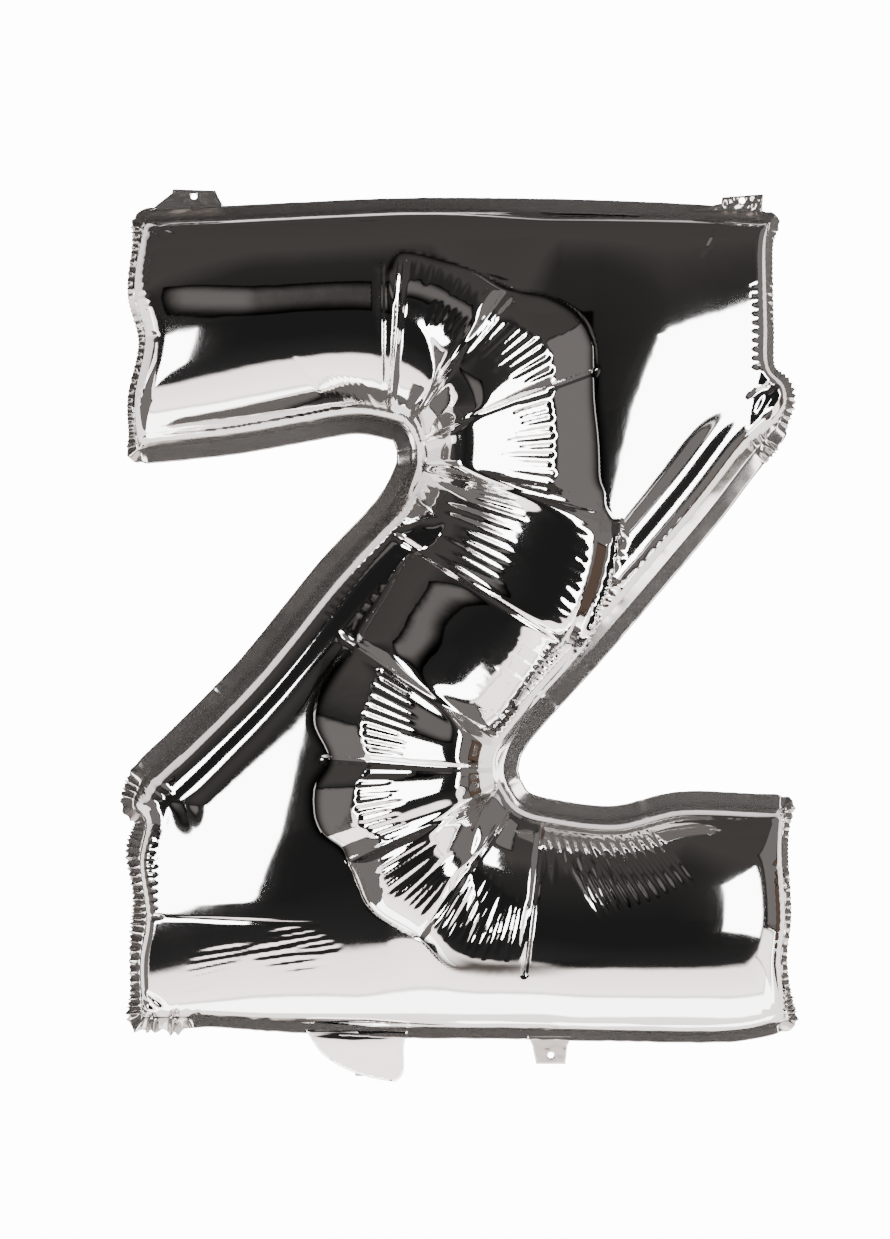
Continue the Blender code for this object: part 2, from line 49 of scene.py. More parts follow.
# Lengths are millimetres in the frame's own axes, x to the right and z up. Where something grows from nothing to
# its whole, two numbers say where that starts and how long it takes, less than nothing for down or to the left.
letter = {
    # the weld line, clockwise from the top left corner, one list from each corner to the next
    "seam": [
        [(-149.2, -12.5), (-112.1, -11.1), (-73.5, -9.2), (-25.3, -7.2),
         (22.9, -7.2), (71.1, -8.2), (114.5, -10.1), (153.0, -13.0)],
        [(153.0, -13.0), (151.1, -23.6), (151.1, -45.3), (151.6, -64.6),
         (152.1, -82.9), (159.3, -91.1), (160.7, -100.7), (155.9, -111.8)],
        [(155.9, -111.8), (142.4, -127.2), (119.3, -157.1), (71.1, -214.0),
         (32.5, -257.4), (24.8, -274.3), (26.3, -283.9)],
        [(26.3, -283.9), (32.5, -292.6), (46.5, -297.4), (77.8, -300.8),
         (109.7, -294.0), (146.8, -295.0), (160.3, -295.0)],
        [(160.3, -295.0), (158.8, -315.2), (160.3, -346.6), (158.3, -368.2), (161.7, -397.2)],
        [(161.7, -397.2), (132.8, -403.0), (73.0, -402.5), (25.3, -401.5),
         (-25.3, -401.0), (-83.1, -398.1), (-119.3, -395.7), (-149.7, -395.7)],
        [(-149.7, -395.7), (-150.6, -368.2), (-147.7, -346.6), (-150.6, -320.0),
         (-147.7, -301.7), (-154.0, -293.5), (-150.1, -282.5)],
        [(-150.1, -282.5), (-145.3, -276.7), (-127.0, -259.3), (-96.2, -227.5),
         (-59.0, -181.7), (-31.1, -151.3), (-20.5, -132.1), (-19.5, -121.5)],
        [(-19.5, -121.5), (-22.9, -113.8), (-28.7, -110.4), (-47.0, -107.5),
         (-73.5, -111.8), (-107.2, -117.6), (-152.1, -122.4)],
        [(-152.1, -122.4), (-153.5, -98.3), (-148.2, -70.4), (-153.5, -45.3), (-149.2, -12.5)],
    ],
    "middle": (2.2, -204.1),  # either corner is the other, turned half round about this
    # the straight arms
    "armRadius": 51.0,      # half depth
    "blunt": 2.6,           # how square the strokes close: 0 is a soft pillow
    "runOn": 90.0,          # how far the strokes run on past the arms' ends while their depth is worked out
    "endReach": 58.0,       # how far in from an arm's end its film still falls away
    "endShare": 0.195,      # share of the depth that it falls by, before the end's steep wall
    "endWall": 2.0,         # how wide that wall is
    # where the arms give way to the slack corners: in x at the top and at the bottom, in z above and below
    "slackTop": (-10.845, 62.66),
    "slackBottom": (13.255, -62.66),
    "slackHigh": (-112.788, -33.74),
    "slackLow": (-259.798, -33.74),
    # the outer corners, given for the upper right one
    "cornerTop": -10.0,     # where its top edge runs,
    "cornerEnd": 151.0,     # where its end wall stands,
    "cornerBend": -69.4,    # and from where the lines of even depth lean
    "cornerSlant": 0.24,    # how far they lean
    "cornerReach": 75.0,    # how far from the top or bottom edge it reaches its depth
    "cornerSpread": 0.30,   # and how much further that is for each millimetre inwards
    "cornerWall": 28.0,     # its depth just inside the end
    "cornerSlope": 0.27,    # how fast it deepens from there
    "cornerCeiling": 46.0,
    "cornerRounding": 5.0,
    "seamRoll": 5.0,        # width of the quarter round along its straight seams
    # the flat roll along the diagonal seams
    "diagonal": (-97.0, -26.0),
    "wall": 9.0,            # width of its steep wall
    "wallBow": 1.35,        # how much that wall bows: 1 is straight
    "roll": 16.0,           # width of the roll above the wall,
    "rollShare": 0.16,      # how much of the depth it falls by before the wall,
    "rollBow": 1.25,        # and how much it bows
    "dip": 2.0,             # the broad dip behind it: its depth, its place and its half width
    "dipAt": 21.5,
    "dipHalf": 6.0,
    "dipEnds": (-225.0, -35.0),
    # how far the corners' film sinks under the tube, and how near the inner corners
    "sink": 0.45,
    "sinkNear": (42.0, -24.0),
    "cell": 1.5,            # spacing of the height grid
    "mesh": 8.0,            # first spacing of the film's mesh, halved twice or three times
}

# The bent tube that lies over the corners. Places along it count its gores, 0 to 11, and places across it run
# from -1 to 1.
tube = {
    # rungs over it, in order along it: place along, x and z of one side, x and z of the other
    "rungs": [
        (0.00, -33.017, -102.184, -33.499, -35.668), (0.50, -32.053, -103.148, -28.197, -31.812),
        (1.00, -30.125, -104.594, -22.895, -29.884), (1.33, -26.751, -107.004, -6.025, -32.776),
        (1.67, -23.859, -108.932, 10.845, -39.524), (2.00, -20.967, -110.86, 26.269, -48.2),
        (2.33, -19.039, -113.27, 45.067, -51.092), (2.67, -17.593, -116.162, 61.455, -62.66),
        (3.00, -16.629, -119.536, 69.167, -85.796), (3.50, -15.183, -125.32, 72.541, -117.608),
        (4.00, -16.629, -133.032, 70.613, -153.276), (4.50, -22.895, -147.492, 64.829, -185.088),
        (5.00, -31.089, -161.952, 52.779, -215.454), (5.50, -43.139, -186.534, 39.283, -241.482),
        (6.00, -55.189, -211.116, 25.305, -264.136), (6.33, -62.901, -229.432, 22.895, -268.474),
        (6.67, -68.203, -251.604, 21.931, -271.848), (7.00, -63.865, -269.92, 21.931, -274.74),
        (7.33, -70.613, -285.344, 22.413, -278.114), (7.67, -68.685, -306.552, 22.895, -281.488),
        (8.00, -50.369, -319.084, 23.377, -284.862), (8.50, -38.319, -341.256, 25.305, -289.2),
        (9.00, -16.629, -354.752, 28.197, -292.574), (9.50, 1.205, -371.14, 34.463, -297.394),
        (10.00, 33.499, -374.032, 42.175, -300.768), (10.50, 66.275, -373.068, 59.045, -302.696),
        (11.00, 100.015, -369.212, 80.735, -303.66),
    ],
    # where its ridge runs: place along, place across; it jumps at the creases
    "ridge": [
        (0, 0.45), (1, 0.42), (1.9, 0.48), (2.1, -0.16), (2.9, -0.26), (3.1, -0.50), (3.88, -0.54), (4.12, 0.60),
        (4.5, 0.66), (4.9, 0.64), (5.1, 0.22), (5.5, 0.06), (5.88, -0.06), (6.12, 0.50), (6.9, 0.50), (7.1, 0.52),
        (7.9, 0.48), (8.1, -0.08), (8.9, -0.30), (9.1, -0.36), (10, -0.42), (11, -0.45),
    ],
    # where its outer side falls away like a cone: place along, share
    "coneShare": [
        (0, 0), (1.9, 0), (2.1, 1), (3.9, 1), (4.1, 0), (5.9, 0), (6.1, 1), (7.9, 1), (8.1, 0), (11, 0),
    ],
    # half depths: place along, ridge, foot of one side, foot of the other
    "halfDepths": [
        (0, 50, 0, 40), (1, 53, 0, 42), (1.5, 56, 0, 42), (2, 61, 0, 43), (2.5, 66, 0, 43), (3, 70, 0, 43),
        (3.9, 70, 0, 43), (4.12, 65, 6, 60), (4.5, 62, 8, 58), (4.9, 61, 10, 55), (5.1, 61, 16, 32),
        (5.5, 61, 18, 26), (5.88, 63, 22, 22), (6.12, 68, 40, 0), (6.5, 70, 42, 0), (7.5, 70, 42, 0),
        (8, 66, 42, 0), (8.5, 61, 42, 0), (9, 56, 42, 0), (9.5, 53, 42, 0), (10, 51, 42, 0), (11, 50, 40, 0),
    ],
    "softening": 0.07,      # reach of the running mean over these three tables, as a share of a gore
    "turnsOver": 5.2,       # place along where its outer side changes hands
    "crestRound": 0.06,     # how round the cone's top is, as a share of its width
    "coneFall": 0.795,      # how much of its height the cone falls by, evenly,
    "shoulderFall": 0.539,  # how much steeper it falls beyond its shoulder,
    "shoulderAt": 0.62,     # and where that is, from the ridge (0) to the side (1)
    "shoulderRound": 0.0012,
    "outside": 60.0,        # how fast it sinks out of sight beyond its sides
    # the line under it where one corner's surface gives way to the other's: height, how far to the right
    "parting": [(-306, 49.4), (-281, 12.4), (-261, -17.6), (-198.1, 2.2), (-135, 22), (-115, -8), (-90, -45)],
    "partingWidth": 16.0,
    "valley": 0.2,          # how far its meeting with the corners is rounded,
    "valleyDepth": 0.3,     # the fine groove that runs along there,
    "valleyWidth": 1.1,     # its width, in difference of depth,
    "tuckShadeWidth": 1.3,       # and how far the painted shade along the tuck reaches, in the same measure
    "grooveDepth": 1.7,     # the creases between the gores
    "grooveWidth": 1.4,
    # fine pleats, gore by gore: place along, how many, from and to across, height, and whether they end
    # abruptly at their outer end (1) or taper at both (0)
    "pleats": [
        (1, 10, 0.52, 0.97, 0.40, 0), (1.38, 12, 0.12, 0.52, 0.50, 0), (2, 11, 0.00, 0.60, 1.25, 1),
        (3, 12, -0.12, 0.50, 1.50, 1), (4, 10, -0.75, 0.30, 0.95, 0), (4, 12, 0.68, 0.97, 0.45, 0),
        (5, 8, 0.45, 0.95, 0.25, 0), (5, 9, -0.95, -0.55, 0.25, 0), (6, 11, 0.08, -0.50, 1.15, 1),
        (7, 12, 0.08, -0.50, 1.25, 1), (8, 12, 0.15, -0.85, 0.75, 0), (9, 11, 0.30, -0.80, 1.10, 0),
        (6.9, 5, -0.70, -0.95, 0.30, 0), (10, 7, 0.20, 0.80, 0.60, 0),
    ],
}


def fan(first, last, count):
    # lines from the first to the last, evenly spread: each is x and z of one end, x and z of the other
    t = np.linspace(0, 1, count)[:, None]
    return np.array(first, float) * (1 - t) + np.array(last, float) * t


def ladder(start, end, length, spacing):
    # short lines square to a line from start to end
    a, b = np.array(start, float), np.array(end, float)
    size = np.linalg.norm(b - a)
    side = np.array([a[1] - b[1], b[0] - a[0]]) / size * length / 2
    middle = fan(start, end, int(size / spacing) + 1)
    return np.hstack([middle - side, middle + side])


def single(x0, z0, x1, z1):
    return np.array([[x0, z0, x1, z1]], float)


# single folds and rows of them: their lines, height and half width
folds = [
    (fan((-75.433, -80.012, -58.081, -100.256), (-46.513, -88.688, -34.945, -106.04), 9), 0.50, 1.5),
    (fan((51.815, -311.372, 71.095, -346.076), (90.375, -300.286, 114.475, -330.17), 11), 1.10, 1.8),
    (fan((42.657, -303.66, 46.995, -315.228), (63.383, -306.552, 68.203, -316.192), 6), 0.40, 1.3),
    (fan((-126.525, -363.91, -91.821, -358.126), (-133.273, -383.672, -109.173, -374.996), 6), 0.24, 1.6),
    (fan((-91.821, -353.788, -62.901, -348.968), (-77.361, -363.428, -51.333, -359.572), 5), 0.32, 1.4),
    (fan((-102.425, -362.464, -67.721, -356.68), (-91.821, -372.104, -54.225, -367.284), 4), 0.30, 1.5),
    (single(-156.409, -345.594, -55.189, -348.486), 0.55, 1.0),
    # shirring beside the diagonal seams
    (ladder((-7.953, -133.996), (-29.161, -160.024), 12.532, 3.13), 0.55, 1.3),
    (ladder((-31.089, -161.952), (-60.009, -201.958), 5.784, 3.86), 0.35, 1.4),
    (ladder((47.959, -217.864), (24.341, -258.834), 10.604, 3.13), 0.50, 1.3),
    # puckers in the end walls
    (ladder((-147.251, -29.884), (-147.251, -66.516), 8.676, 4.0), 1.00, 1.5),
    (ladder((-148.697, -74.228), (-149.179, -100.738), 5.784, 4.0), 0.90, 1.5),
    (ladder((146.769, -45.308), (147.251, -83.868), 9.64, 4.0), 1.00, 1.5),
    (ladder((-145.323, -301.732), (-144.841, -341.738), 9.64, 4.0), 1.00, 1.5),
    (ladder((155.927, -324.868), (156.409, -365.838), 7.23, 4.0), 0.90, 1.5),
    (ladder((158.337, -301.732), (158.337, -321.012), 4.82, 4.0), 0.90, 1.5),
    # the bunched film in the outer corners
    (fan((-154.481, -385.6, -145.805, -393.312), (-147.733, -381.744, -136.165, -391.384), 3), 2.0, 2.2),
    (fan((-136.165, -389.456, -141.949, -395.24), (-121.705, -390.42, -123.633, -397.168), 4), 1.6, 2.0),
    (fan((-151.589, -14.46, -140.985, -26.028), (-145.805, -12.532, -128.453, -21.208), 3), 1.6, 2.0),
    (fan((153.035, -91.58, 144.359, -107.968), (160.747, -94.472, 149.179, -109.896), 3), 1.6, 2.0),
    (fan((-152.553, -284.38, -140.985, -294.02), (-145.805, -280.524, -133.273, -287.272), 3), 1.8, 2.2),
    (fan((153.999, -382.708, 162.675, -396.204), (146.287, -389.456, 160.747, -400.06), 3), 1.4, 2.0),
    # pinches
    (single(-156.409, -69.89, -139.057, -69.89), 3.0, 3.0),
    (single(-157.373, -346.076, -137.129, -346.076), 2.5, 2.0),
    (single(150.143, -321.012, 167.495, -321.976), 2.5, 2.2),
    (single(153.035, -368.248, 165.567, -369.212), 2.5, 2.2),
    (single(139.539, -99.292, 167.495, -84.832), 2.5, 2.6),
    (fan((119.295, -31.812, 129.899, -10.604), (122.187, -26.992, 138.575, -9.64), 3), 0.8, 1.8),
]


def smooth(t):
    # 3t^2 - 2t^3 between 0 and 1
    t = np.clip(t, 0, 1)
    return t * t * (3 - 2 * t)


def grown(value, start, length):
    # 0 up to the start, 1 from a length beyond it, smooth between
    return smooth((value - start) / length)


def roundedRise(t):
    # a quarter round from 0 at t = 0 to 1 at t = 1
    return np.sqrt(1 - (1 - np.clip(t, 0, 1)) ** 2)


def curveThrough(knots, samples):
    # Catmull-Rom: each span is the cubic whose slopes are half the chord over its neighbours
    k = np.vstack([2 * knots[0] - knots[1], knots, 2 * knots[-1] - knots[-2]])
    t = np.linspace(0, 1, samples + 1)[:-1, None, None]
    a, b, c, d = k[:-3], k[1:-2], k[2:-1], k[3:]
    spans = 0.5 * (2 * b + (c - a) * t + (2 * a - 5 * b + 4 * c - d) * t**2 + (3 * b - a - 3 * c + d) * t**3)
    return np.vstack([np.swapaxes(spans, 0, 1).reshape(-1, knots.shape[1]), knots[-1:]])


def evenly(points, spacing):
    # the same polyline with its points at equal shares of its length
    arc = np.concatenate([[0], np.cumsum(np.linalg.norm(np.diff(points, axis=0), axis=1))])
    count = max(1, int(round(arc[-1] / spacing)))
    at = np.linspace(0, arc[-1], count + 1)
    return np.stack([np.interp(at, arc, points[:, k]) for k in range(points.shape[1])], axis=1)


def seamLoop(spacing):
    stretches = [evenly(curveThrough(np.array(s), 12), spacing) for s in letter["seam"]]
    return np.vstack([s[:-1] for s in stretches])


def insideLoop(points, loop):
    # even-odd rule: how many edges of the loop a ray to the right crosses
    x, z = points[:, 0], points[:, 1]
    inside = np.zeros(len(points), bool)
    for (x0, z0), (x1, z1) in zip(loop, np.roll(loop, -1, axis=0)):
        if z0 == z1:
            continue
        inside ^= ((z0 > z) != (z1 > z)) & (x < x0 + (z - z0) * (x1 - x0) / (z1 - z0))
    return inside


def nearest(points, line, ring=True):
    # least distance to any stretch of a line and the place where that is, with a ring's end joined to its start
    best, place = np.full(len(points), 1e9), points.copy()
    for a, b in zip(line, np.roll(line, -1, axis=0) if ring else line[1:]):
        ab = b - a
        t = np.clip(((points - a) @ ab) / (ab @ ab), 0, 1)
        foot = a + t[:, None] * ab
        d = points - foot
        d = np.einsum("ij,ij->i", d, d)
        near = d < best
        best[near], place[near] = d[near], foot[near]
    return np.sqrt(best), place


class Grid:
    # a regular grid of numbers over the letter, read between its nodes by bilinear weights
    def __init__(self, cell):
        self.cell = cell
        self.low = np.array([-222.0, -420.0])
        size = np.array([444.0, 432.0])
        self.shape = (int(size[0] / cell) + 1, int(size[1] / cell) + 1)
        i, j = np.meshgrid(np.arange(self.shape[0]), np.arange(self.shape[1]), indexing="ij")
        self.points = self.low + cell * np.stack([i, j], axis=-1)

    def read(self, field, p):
        q = (p - self.low) / self.cell
        i = np.clip(q[:, 0].astype(int), 0, self.shape[0] - 2)
        j = np.clip(q[:, 1].astype(int), 0, self.shape[1] - 2)
        s, t = q[:, 0] - i, q[:, 1] - j
        return ((field[i, j] * (1 - s) + field[i + 1, j] * s) * (1 - t)
                + (field[i, j + 1] * (1 - s) + field[i + 1, j + 1] * s) * t)


def lesser(a, b, k):
    # the smaller of two, rounded over where they meet
    blend = np.clip(1 - np.abs(a - b) / k, 0, 1)
    return np.minimum(a, b) - 0.25 * k * blend * blend


def signedDistance(grid, loop):
    # distance to the seam, taken as less than nothing outside it
    p = grid.points.reshape(-1, 2)
    d = nearest(p, loop)[0]
    return np.where(insideLoop(p, loop), d, -d).reshape(grid.shape)


def relaxed(inside, cell, start, sweeps, hold):
    # each node becomes the mean of its four neighbours plus cell^2 / 4, less a share for the spring that holds it
    # down, and 0 outside: a soap film under even pressure on a bed of springs
    u = np.where(inside, start, 0.0)
    share = 1 / (1 + hold * hold * cell * cell / 4)
    for _ in range(sweeps):
        u[1:-1, 1:-1] = np.where(
            inside[1:-1, 1:-1],
            0.25 * share * (u[:-2, 1:-1] + u[2:, 1:-1] + u[1:-1, :-2] + u[1:-1, 2:] + cell * cell), 0)
    return u


def pillowField(grid, apart):
    # the film of relaxed(), turned into a squared depth by the rule that makes a straight stroke a round tube:
    # u = (1 - cosh(k x) / cosh(k a)) / k^2 across a stroke of half width a, and its squared depth is a^2 - x^2
    inside = apart > 0
    a = letter["armRadius"]
    k = letter["blunt"] / a
    u = None
    for step in (8, 4, 2, 1):
        coarse = inside[::step, ::step]
        start = np.zeros(coarse.shape)
        if u is not None:
            big = np.repeat(np.repeat(u, 2, axis=0), 2, axis=1)[:coarse.shape[0], :coarse.shape[1]]
            start[:big.shape[0], :big.shape[1]] = big
        u = relaxed(coarse, grid.cell * step, start, 300 if step == 8 else 140, k)
    x = np.linspace(a, 0, 400)
    film = (1 - np.cosh(k * x) / math.cosh(k * a)) / k**2
    wider = np.linspace(0, 1.4, 80)[1:]
    film = np.concatenate([film, (1 - np.cos(wider) / math.cosh(k * a)) / k**2])
    square = np.concatenate([a * a - x * x, a * a + (wider / k) ** 2])
    full = np.interp(u, film, square)
    # near the seam the square rises in line with the distance, so it is carried out from 4 mm within
    nx, nz = np.gradient(apart, grid.cell)
    size = np.maximum(np.hypot(nx, nz), 1e-6)
    within = np.stack([nx / size, nz / size], axis=-1) * np.clip(4.0 - apart, 0, 12)[..., None]
    atFour = grid.read(full, (grid.points + within).reshape(-1, 2)).reshape(grid.shape)
    for _ in range(6):
        atFour[1:-1, 1:-1] = 0.25 * (atFour[:-2, 1:-1] + atFour[2:, 1:-1] + atFour[1:-1, :-2] + atFour[1:-1, 2:])
    return full, atFour


def tubeFields(grid):
    # every grid node's place along the bent tube and across it (-1 to 1), from a fine net of rungs laid over the grid
    dense = curveThrough(np.array(tube["rungs"]), 60)
    across = np.linspace(-1.12, 1.12, 560)
    share = (across + 1) / 2
    net = dense[:, None, 1:3] * (1 - share[None, :, None]) + dense[:, None, 3:5] * share[None, :, None]
    cells = np.rint((net - grid.low) / grid.cell).astype(int).reshape(-1, 2)
    flat = cells[:, 0] * grid.shape[1] + cells[:, 1]
    size = grid.shape[0] * grid.shape[1]
    hits = np.bincount(flat, minlength=size)
    sumU = np.bincount(flat, np.repeat(dense[:, 0], len(across)), minlength=size)
    sumV = np.bincount(flat, np.tile(across, len(dense)), minlength=size)
    found = (hits > 0).reshape(grid.shape)
    u = (sumU / np.maximum(hits, 1)).reshape(grid.shape)
    v = (sumV / np.maximum(hits, 1)).reshape(grid.shape)
    for _ in range(3):  # carried one node further out each time, so that its edge reads well
        total, newU, newV = (
            sum(np.roll(k, s, axis=a) for s in (1, -1) for a in (0, 1)) for k in (1.0 * found, u * found, v * found))
        newU, newV = newU / np.maximum(total, 1), newV / np.maximum(total, 1)
        fresh = ~found & (total > 0)
        u[fresh], v[fresh] = newU[fresh], newV[fresh]
        found |= fresh
    return u, v, found


class Shape:
    # how deep the film stands at any point of the letter, for one face
    def __init__(self, seed):
        self.grid = Grid(letter["cell"])
        self.apart = signedDistance(self.grid, seamLoop(3.0))
        # the arms' depth comes from strokes that run on past their ends, cut down again near the ends
        stretches = [evenly(curveThrough(np.array(k), 12), 3.0) for k in letter["seam"]]
        away = np.zeros((10, 2))
        away[[1, 4], 0], away[[6, 9], 0] = letter["runOn"], -letter["runOn"]
        self.far = signedDistance(self.grid, np.vstack([k[:-1] + d for k, d in zip(stretches, away)]))
        self.square, self.atFour = pillowField(self.grid, self.far)
        q = self.grid.points.reshape(-1, 2)
        toEnd = np.min([nearest(q, stretches[k], False)[0] for k in (1, 4, 6, 9)], axis=0)
        self.toEnd = toEnd.reshape(self.grid.shape)
        self.u, self.v, found = tubeFields(self.grid)
        self.found = found.astype(float)
        # how much of the way along the tube one millimetre is, evened out
        up, vp = np.gradient(self.u, self.grid.cell)
        pace = np.where(found, np.clip(np.hypot(up, vp), 0.004, 0.2), 0.02)
        for _ in range(12):
            pace[1:-1, 1:-1] = 0.25 * (pace[:-2, 1:-1] + pace[2:, 1:-1] + pace[1:-1, :-2] + pace[1:-1, 2:])
        self.pace = pace
        # the tube's tables, softened so that no kink shows between their rows
        self.tablesAt = np.arange(-0.5, 11.5, 0.01)
        self.tables = []
        for name in ("ridge", "coneShare", "halfDepths"):
            place, *lines = np.array(tube[name], float).T
            self.tables += [settle(np.interp(self.tablesAt, place, k), tube["softening"], 0.01) for k in lines]
        self.parting = np.array(tube["parting"], float).T
        self.wrinkles = self.layWrinkles(np.random.default_rng(seed))
        report(f"height fields, arms {math.sqrt(self.square.max()):.1f} mm deep")

    def layWrinkles(self, r):
        # place along, from and to across, height, half width, abrupt or not
        rows = []
        for gore, count, inner, outer, height, abrupt in tube["pleats"]:
            size = 1 - gore % 1
            for k in range(int(count * size + 0.5)):
                place = gore + (k + 0.6 + r.uniform(-0.16, 0.16)) / (count + 0.2)
                reach = outer - inner
                a, b = inner + reach * r.uniform(-0.05, 0.35), outer - reach * r.uniform(0, 0.10)
                rows.append((place, a, b, height * r.uniform(0.6, 1.15), r.uniform(1.4, 2.3), abrupt))
        return rows

    def fold(self, p, ends, height, half):
        # a lens-shaped dent: its height and its half width both shrink to nothing at its ends
        a, b = ends.reshape(2, 2)
        size = np.linalg.norm(b - a)
        along, side = (b - a) / size, np.array([a[1] - b[1], b[0] - a[0]]) / size
        low, high = np.minimum(a, b) - half, np.maximum(a, b) + half
        hit = np.flatnonzero(((p > low) & (p < high)).all(axis=1))
        t = ((p[hit] - a) @ along) / size
        d = (p[hit] - a) @ side
        bow = np.sin(np.pi * np.clip(t, 0, 1))
        return hit, height * bow * np.clip(1 - (d / (half * np.sqrt(bow) + 1e-6)) ** 2, 0, 1) ** 1.5

    def arm(self, p):
        # root of the squared depth, with the part within 4 mm of the long seams read from the distance
        apart = np.maximum(self.grid.read(self.far, p), 0)
        near = self.grid.read(self.atFour, p) * apart / 4.0
        mix = grown(apart, 3.0, 2.5)
        deep = np.sqrt(np.maximum(near * (1 - mix) + self.grid.read(self.square, p) * mix, 0))
        # near an arm's end it is cut down: a steep wall, then a parabola's share
        d = self.grid.read(self.toEnd, p)
        share = letter["endShare"]
        inward = 1 - np.clip(d / letter["endReach"], 0, 1)
        deep = np.minimum(deep, letter["armRadius"] + 2.0)
        return deep * ((1 - share) * (1 - np.exp(-d / letter["endWall"])) + share * (1 - inward**2))

    def corner(self, x, z, apart):
        # the upper right outer corner: a quarter round below the top seam times a slope that faces right
        inside = letter["cornerEnd"] - x
        reach = letter["cornerReach"] + letter["cornerSpread"] * inside
        edge = roundedRise((letter["cornerTop"] - z) / reach)
        inward = inside - letter["cornerSlant"] * np.maximum(letter["cornerBend"] - z, 0)
        slope = letter["cornerWall"] + letter["cornerSlope"] * np.maximum(inward, 0)
        slope = lesser(slope, letter["cornerCeiling"], letter["cornerRounding"])
        # the diagonal seam is closed by a flat roll with a broad dip behind it, the others by a quarter round
        diagonal = grown(z, *letter["diagonal"])
        plain = roundedRise(apart / letter["seamRoll"])
        wall = 1 - (1 - np.clip(apart / letter["wall"], 0, 1)) ** letter["wallBow"]
        fall = letter["rollShare"] * (1 - np.clip(apart / letter["roll"], 0, 1)) ** letter["rollBow"]
        rise = plain + (wall * (1 - fall) - plain) * diagonal
        dip = letter["dip"] * np.exp(-(((apart - letter["dipAt"]) / letter["dipHalf"]) ** 2))
        dip *= diagonal * (1 - grown(z, *letter["dipEnds"]))
        return slope * edge * rise - dip

    def slack(self, p):
        # 0 in the arms, and 1 in the corners beside the bent tube
        x, z = p.T
        top, bottom = grown(x, *letter["slackTop"]), grown(x, *letter["slackBottom"])
        high, low = 1 - grown(z, *letter["slackHigh"]), grown(z, *letter["slackLow"])
        return 1 - (1 - top) * high - (1 - bottom) * low

    def depth(self, p, fine=True):
        x, z = p.T
        apart = np.maximum(self.grid.read(self.apart, p), 0)
        slack = self.slack(p)
        # the two corners part under the tube
        lower = smooth((np.interp(z, *self.parting) - x) / tube["partingWidth"] + 0.5)
        middle = letter["middle"]
        webs = self.corner(x, z, apart) * (1 - lower)
        webs += self.corner(2 * middle[0] - x, 2 * middle[1] - z, apart) * lower
        web = self.arm(p) * (1 - slack) + webs * slack
        found = self.grid.read(self.found, p) > 0.999
        u = np.where(found, self.grid.read(self.u, p), -1)
        v = np.where(found, self.grid.read(self.v, p), 2)
        over = self.overTube(u, v, web)
        # the corners' film sinks towards the inner corners, under the tube
        for inner in (letter["seam"][2][-1], letter["seam"][7][-1]):
            near = grown(np.hypot(x - inner[0], z - inner[1]), *letter["sinkNear"])
            web = web - letter["sink"] * webs * slack * near
        # the greater of the two, rounded over where they meet, with a fine groove there
        k = tube["valley"]
        blend = np.clip(1 - np.abs(web - over) / k, 0, 1)
        out = np.maximum(web, over) + 0.25 * k * blend * blend
        out -= tube["valleyDepth"] * np.exp(-(((web - over) / tube["valleyWidth"]) ** 2))
        # how tightly the film tucks in beside the tube, as a painted shade that darkens its colour: 1 where the two
        # surfaces meet
        self.tuck_shade = np.exp(-(((web - over) / tube["tuckShadeWidth"]) ** 2)) * found
        self.tuck_shade *= smooth((apart - 6) / 6) * smooth((np.abs(v) - 0.72) / 0.12)
        out = web + (out - web) * smooth(apart / 6) * found
        if fine:
            out -= self.creases(p, u, v, apart)
        return np.maximum(out, 0)

    def overTube(self, u, v, web):
        # from its ridge (w = 0) to either side (w = 1), part of it is (1 - w^2)^(1/2) and part a cone with a round
        # top and a shoulder, where the slope grows: each runs from the height of the ridge to that of the foot
        crest, coning, top, footA, footB = (np.interp(u, self.tablesAt, line) for line in self.tables)
        w = np.clip(np.where(v > crest, (v - crest) / (1 - crest), (crest - v) / (1 + crest)), 0, 1)
        cone = coning * np.where((v > crest) == (u < tube["turnsOver"]), 1, 0)
        # the outer side of the bends ends level with what it stands on
        foot = np.where(v > crest, footB, footA)
        foot = foot + (np.minimum(foot, web) - foot) * cone
        k = tube["crestRound"]
        rounded = (np.sqrt(w * w + k * k) - k) / (math.sqrt(1 + k * k) - k)
        past = rounded - tube["shoulderAt"]
        shoulder = 0.5 * (past + np.sqrt(past**2 + tube["shoulderRound"]))
        facets = 1 - tube["coneFall"] * rounded - tube["shoulderFall"] * shoulder
        profile = cone * facets + (1 - cone) * np.sqrt(1 - w * w)
        return foot + (top - foot) * profile - tube["outside"] * np.clip(np.abs(v) - 1, 0, 1)

    def creases(self, p, u, v, apart):
        # how much lower the film lies for the creases between gores, the pleats and the folds: each pleat is a lens
        # whose height and half width shrink to nothing at its ends, and (1 - d^2)^(3/2) across
        pace = np.maximum(self.grid.read(self.pace, p), 1e-4)
        apartFrom = np.abs(u - np.rint(u)) / pace
        ends = smooth((1.02 - np.abs(v)) / 0.12) * smooth((u + 0.1) / 0.1) * smooth((10.4 - u) / 0.3)
        groove = np.exp(-((apartFrom / tube["grooveWidth"]) ** 2))
        add = np.zeros(len(p))
        for place, inner, outer, height, half, abrupt in self.wrinkles:
            low, high = min(inner, outer), max(inner, outer)
            hit = np.flatnonzero((np.abs(u - place) < half * pace) & (v > low) & (v < high))
            t = (v[hit] - inner) / (outer - inner)
            bow = np.sqrt(t) * smooth((1 - t) / 0.14) if abrupt else np.sin(np.pi * t)
            lens = half * pace[hit] * np.sqrt(bow) + 1e-6
            add[hit] += height * bow * np.clip(1 - ((u[hit] - place) / lens) ** 2, 0, 1) ** 1.5
        for lines, height, half in folds:
            for line in lines:
                hit, dent = self.fold(p, line, height, half)
                add[hit] += dent
        return tube["grooveDepth"] * groove * ends * smooth(apart / 10) + add * smooth(apart / 2.5)


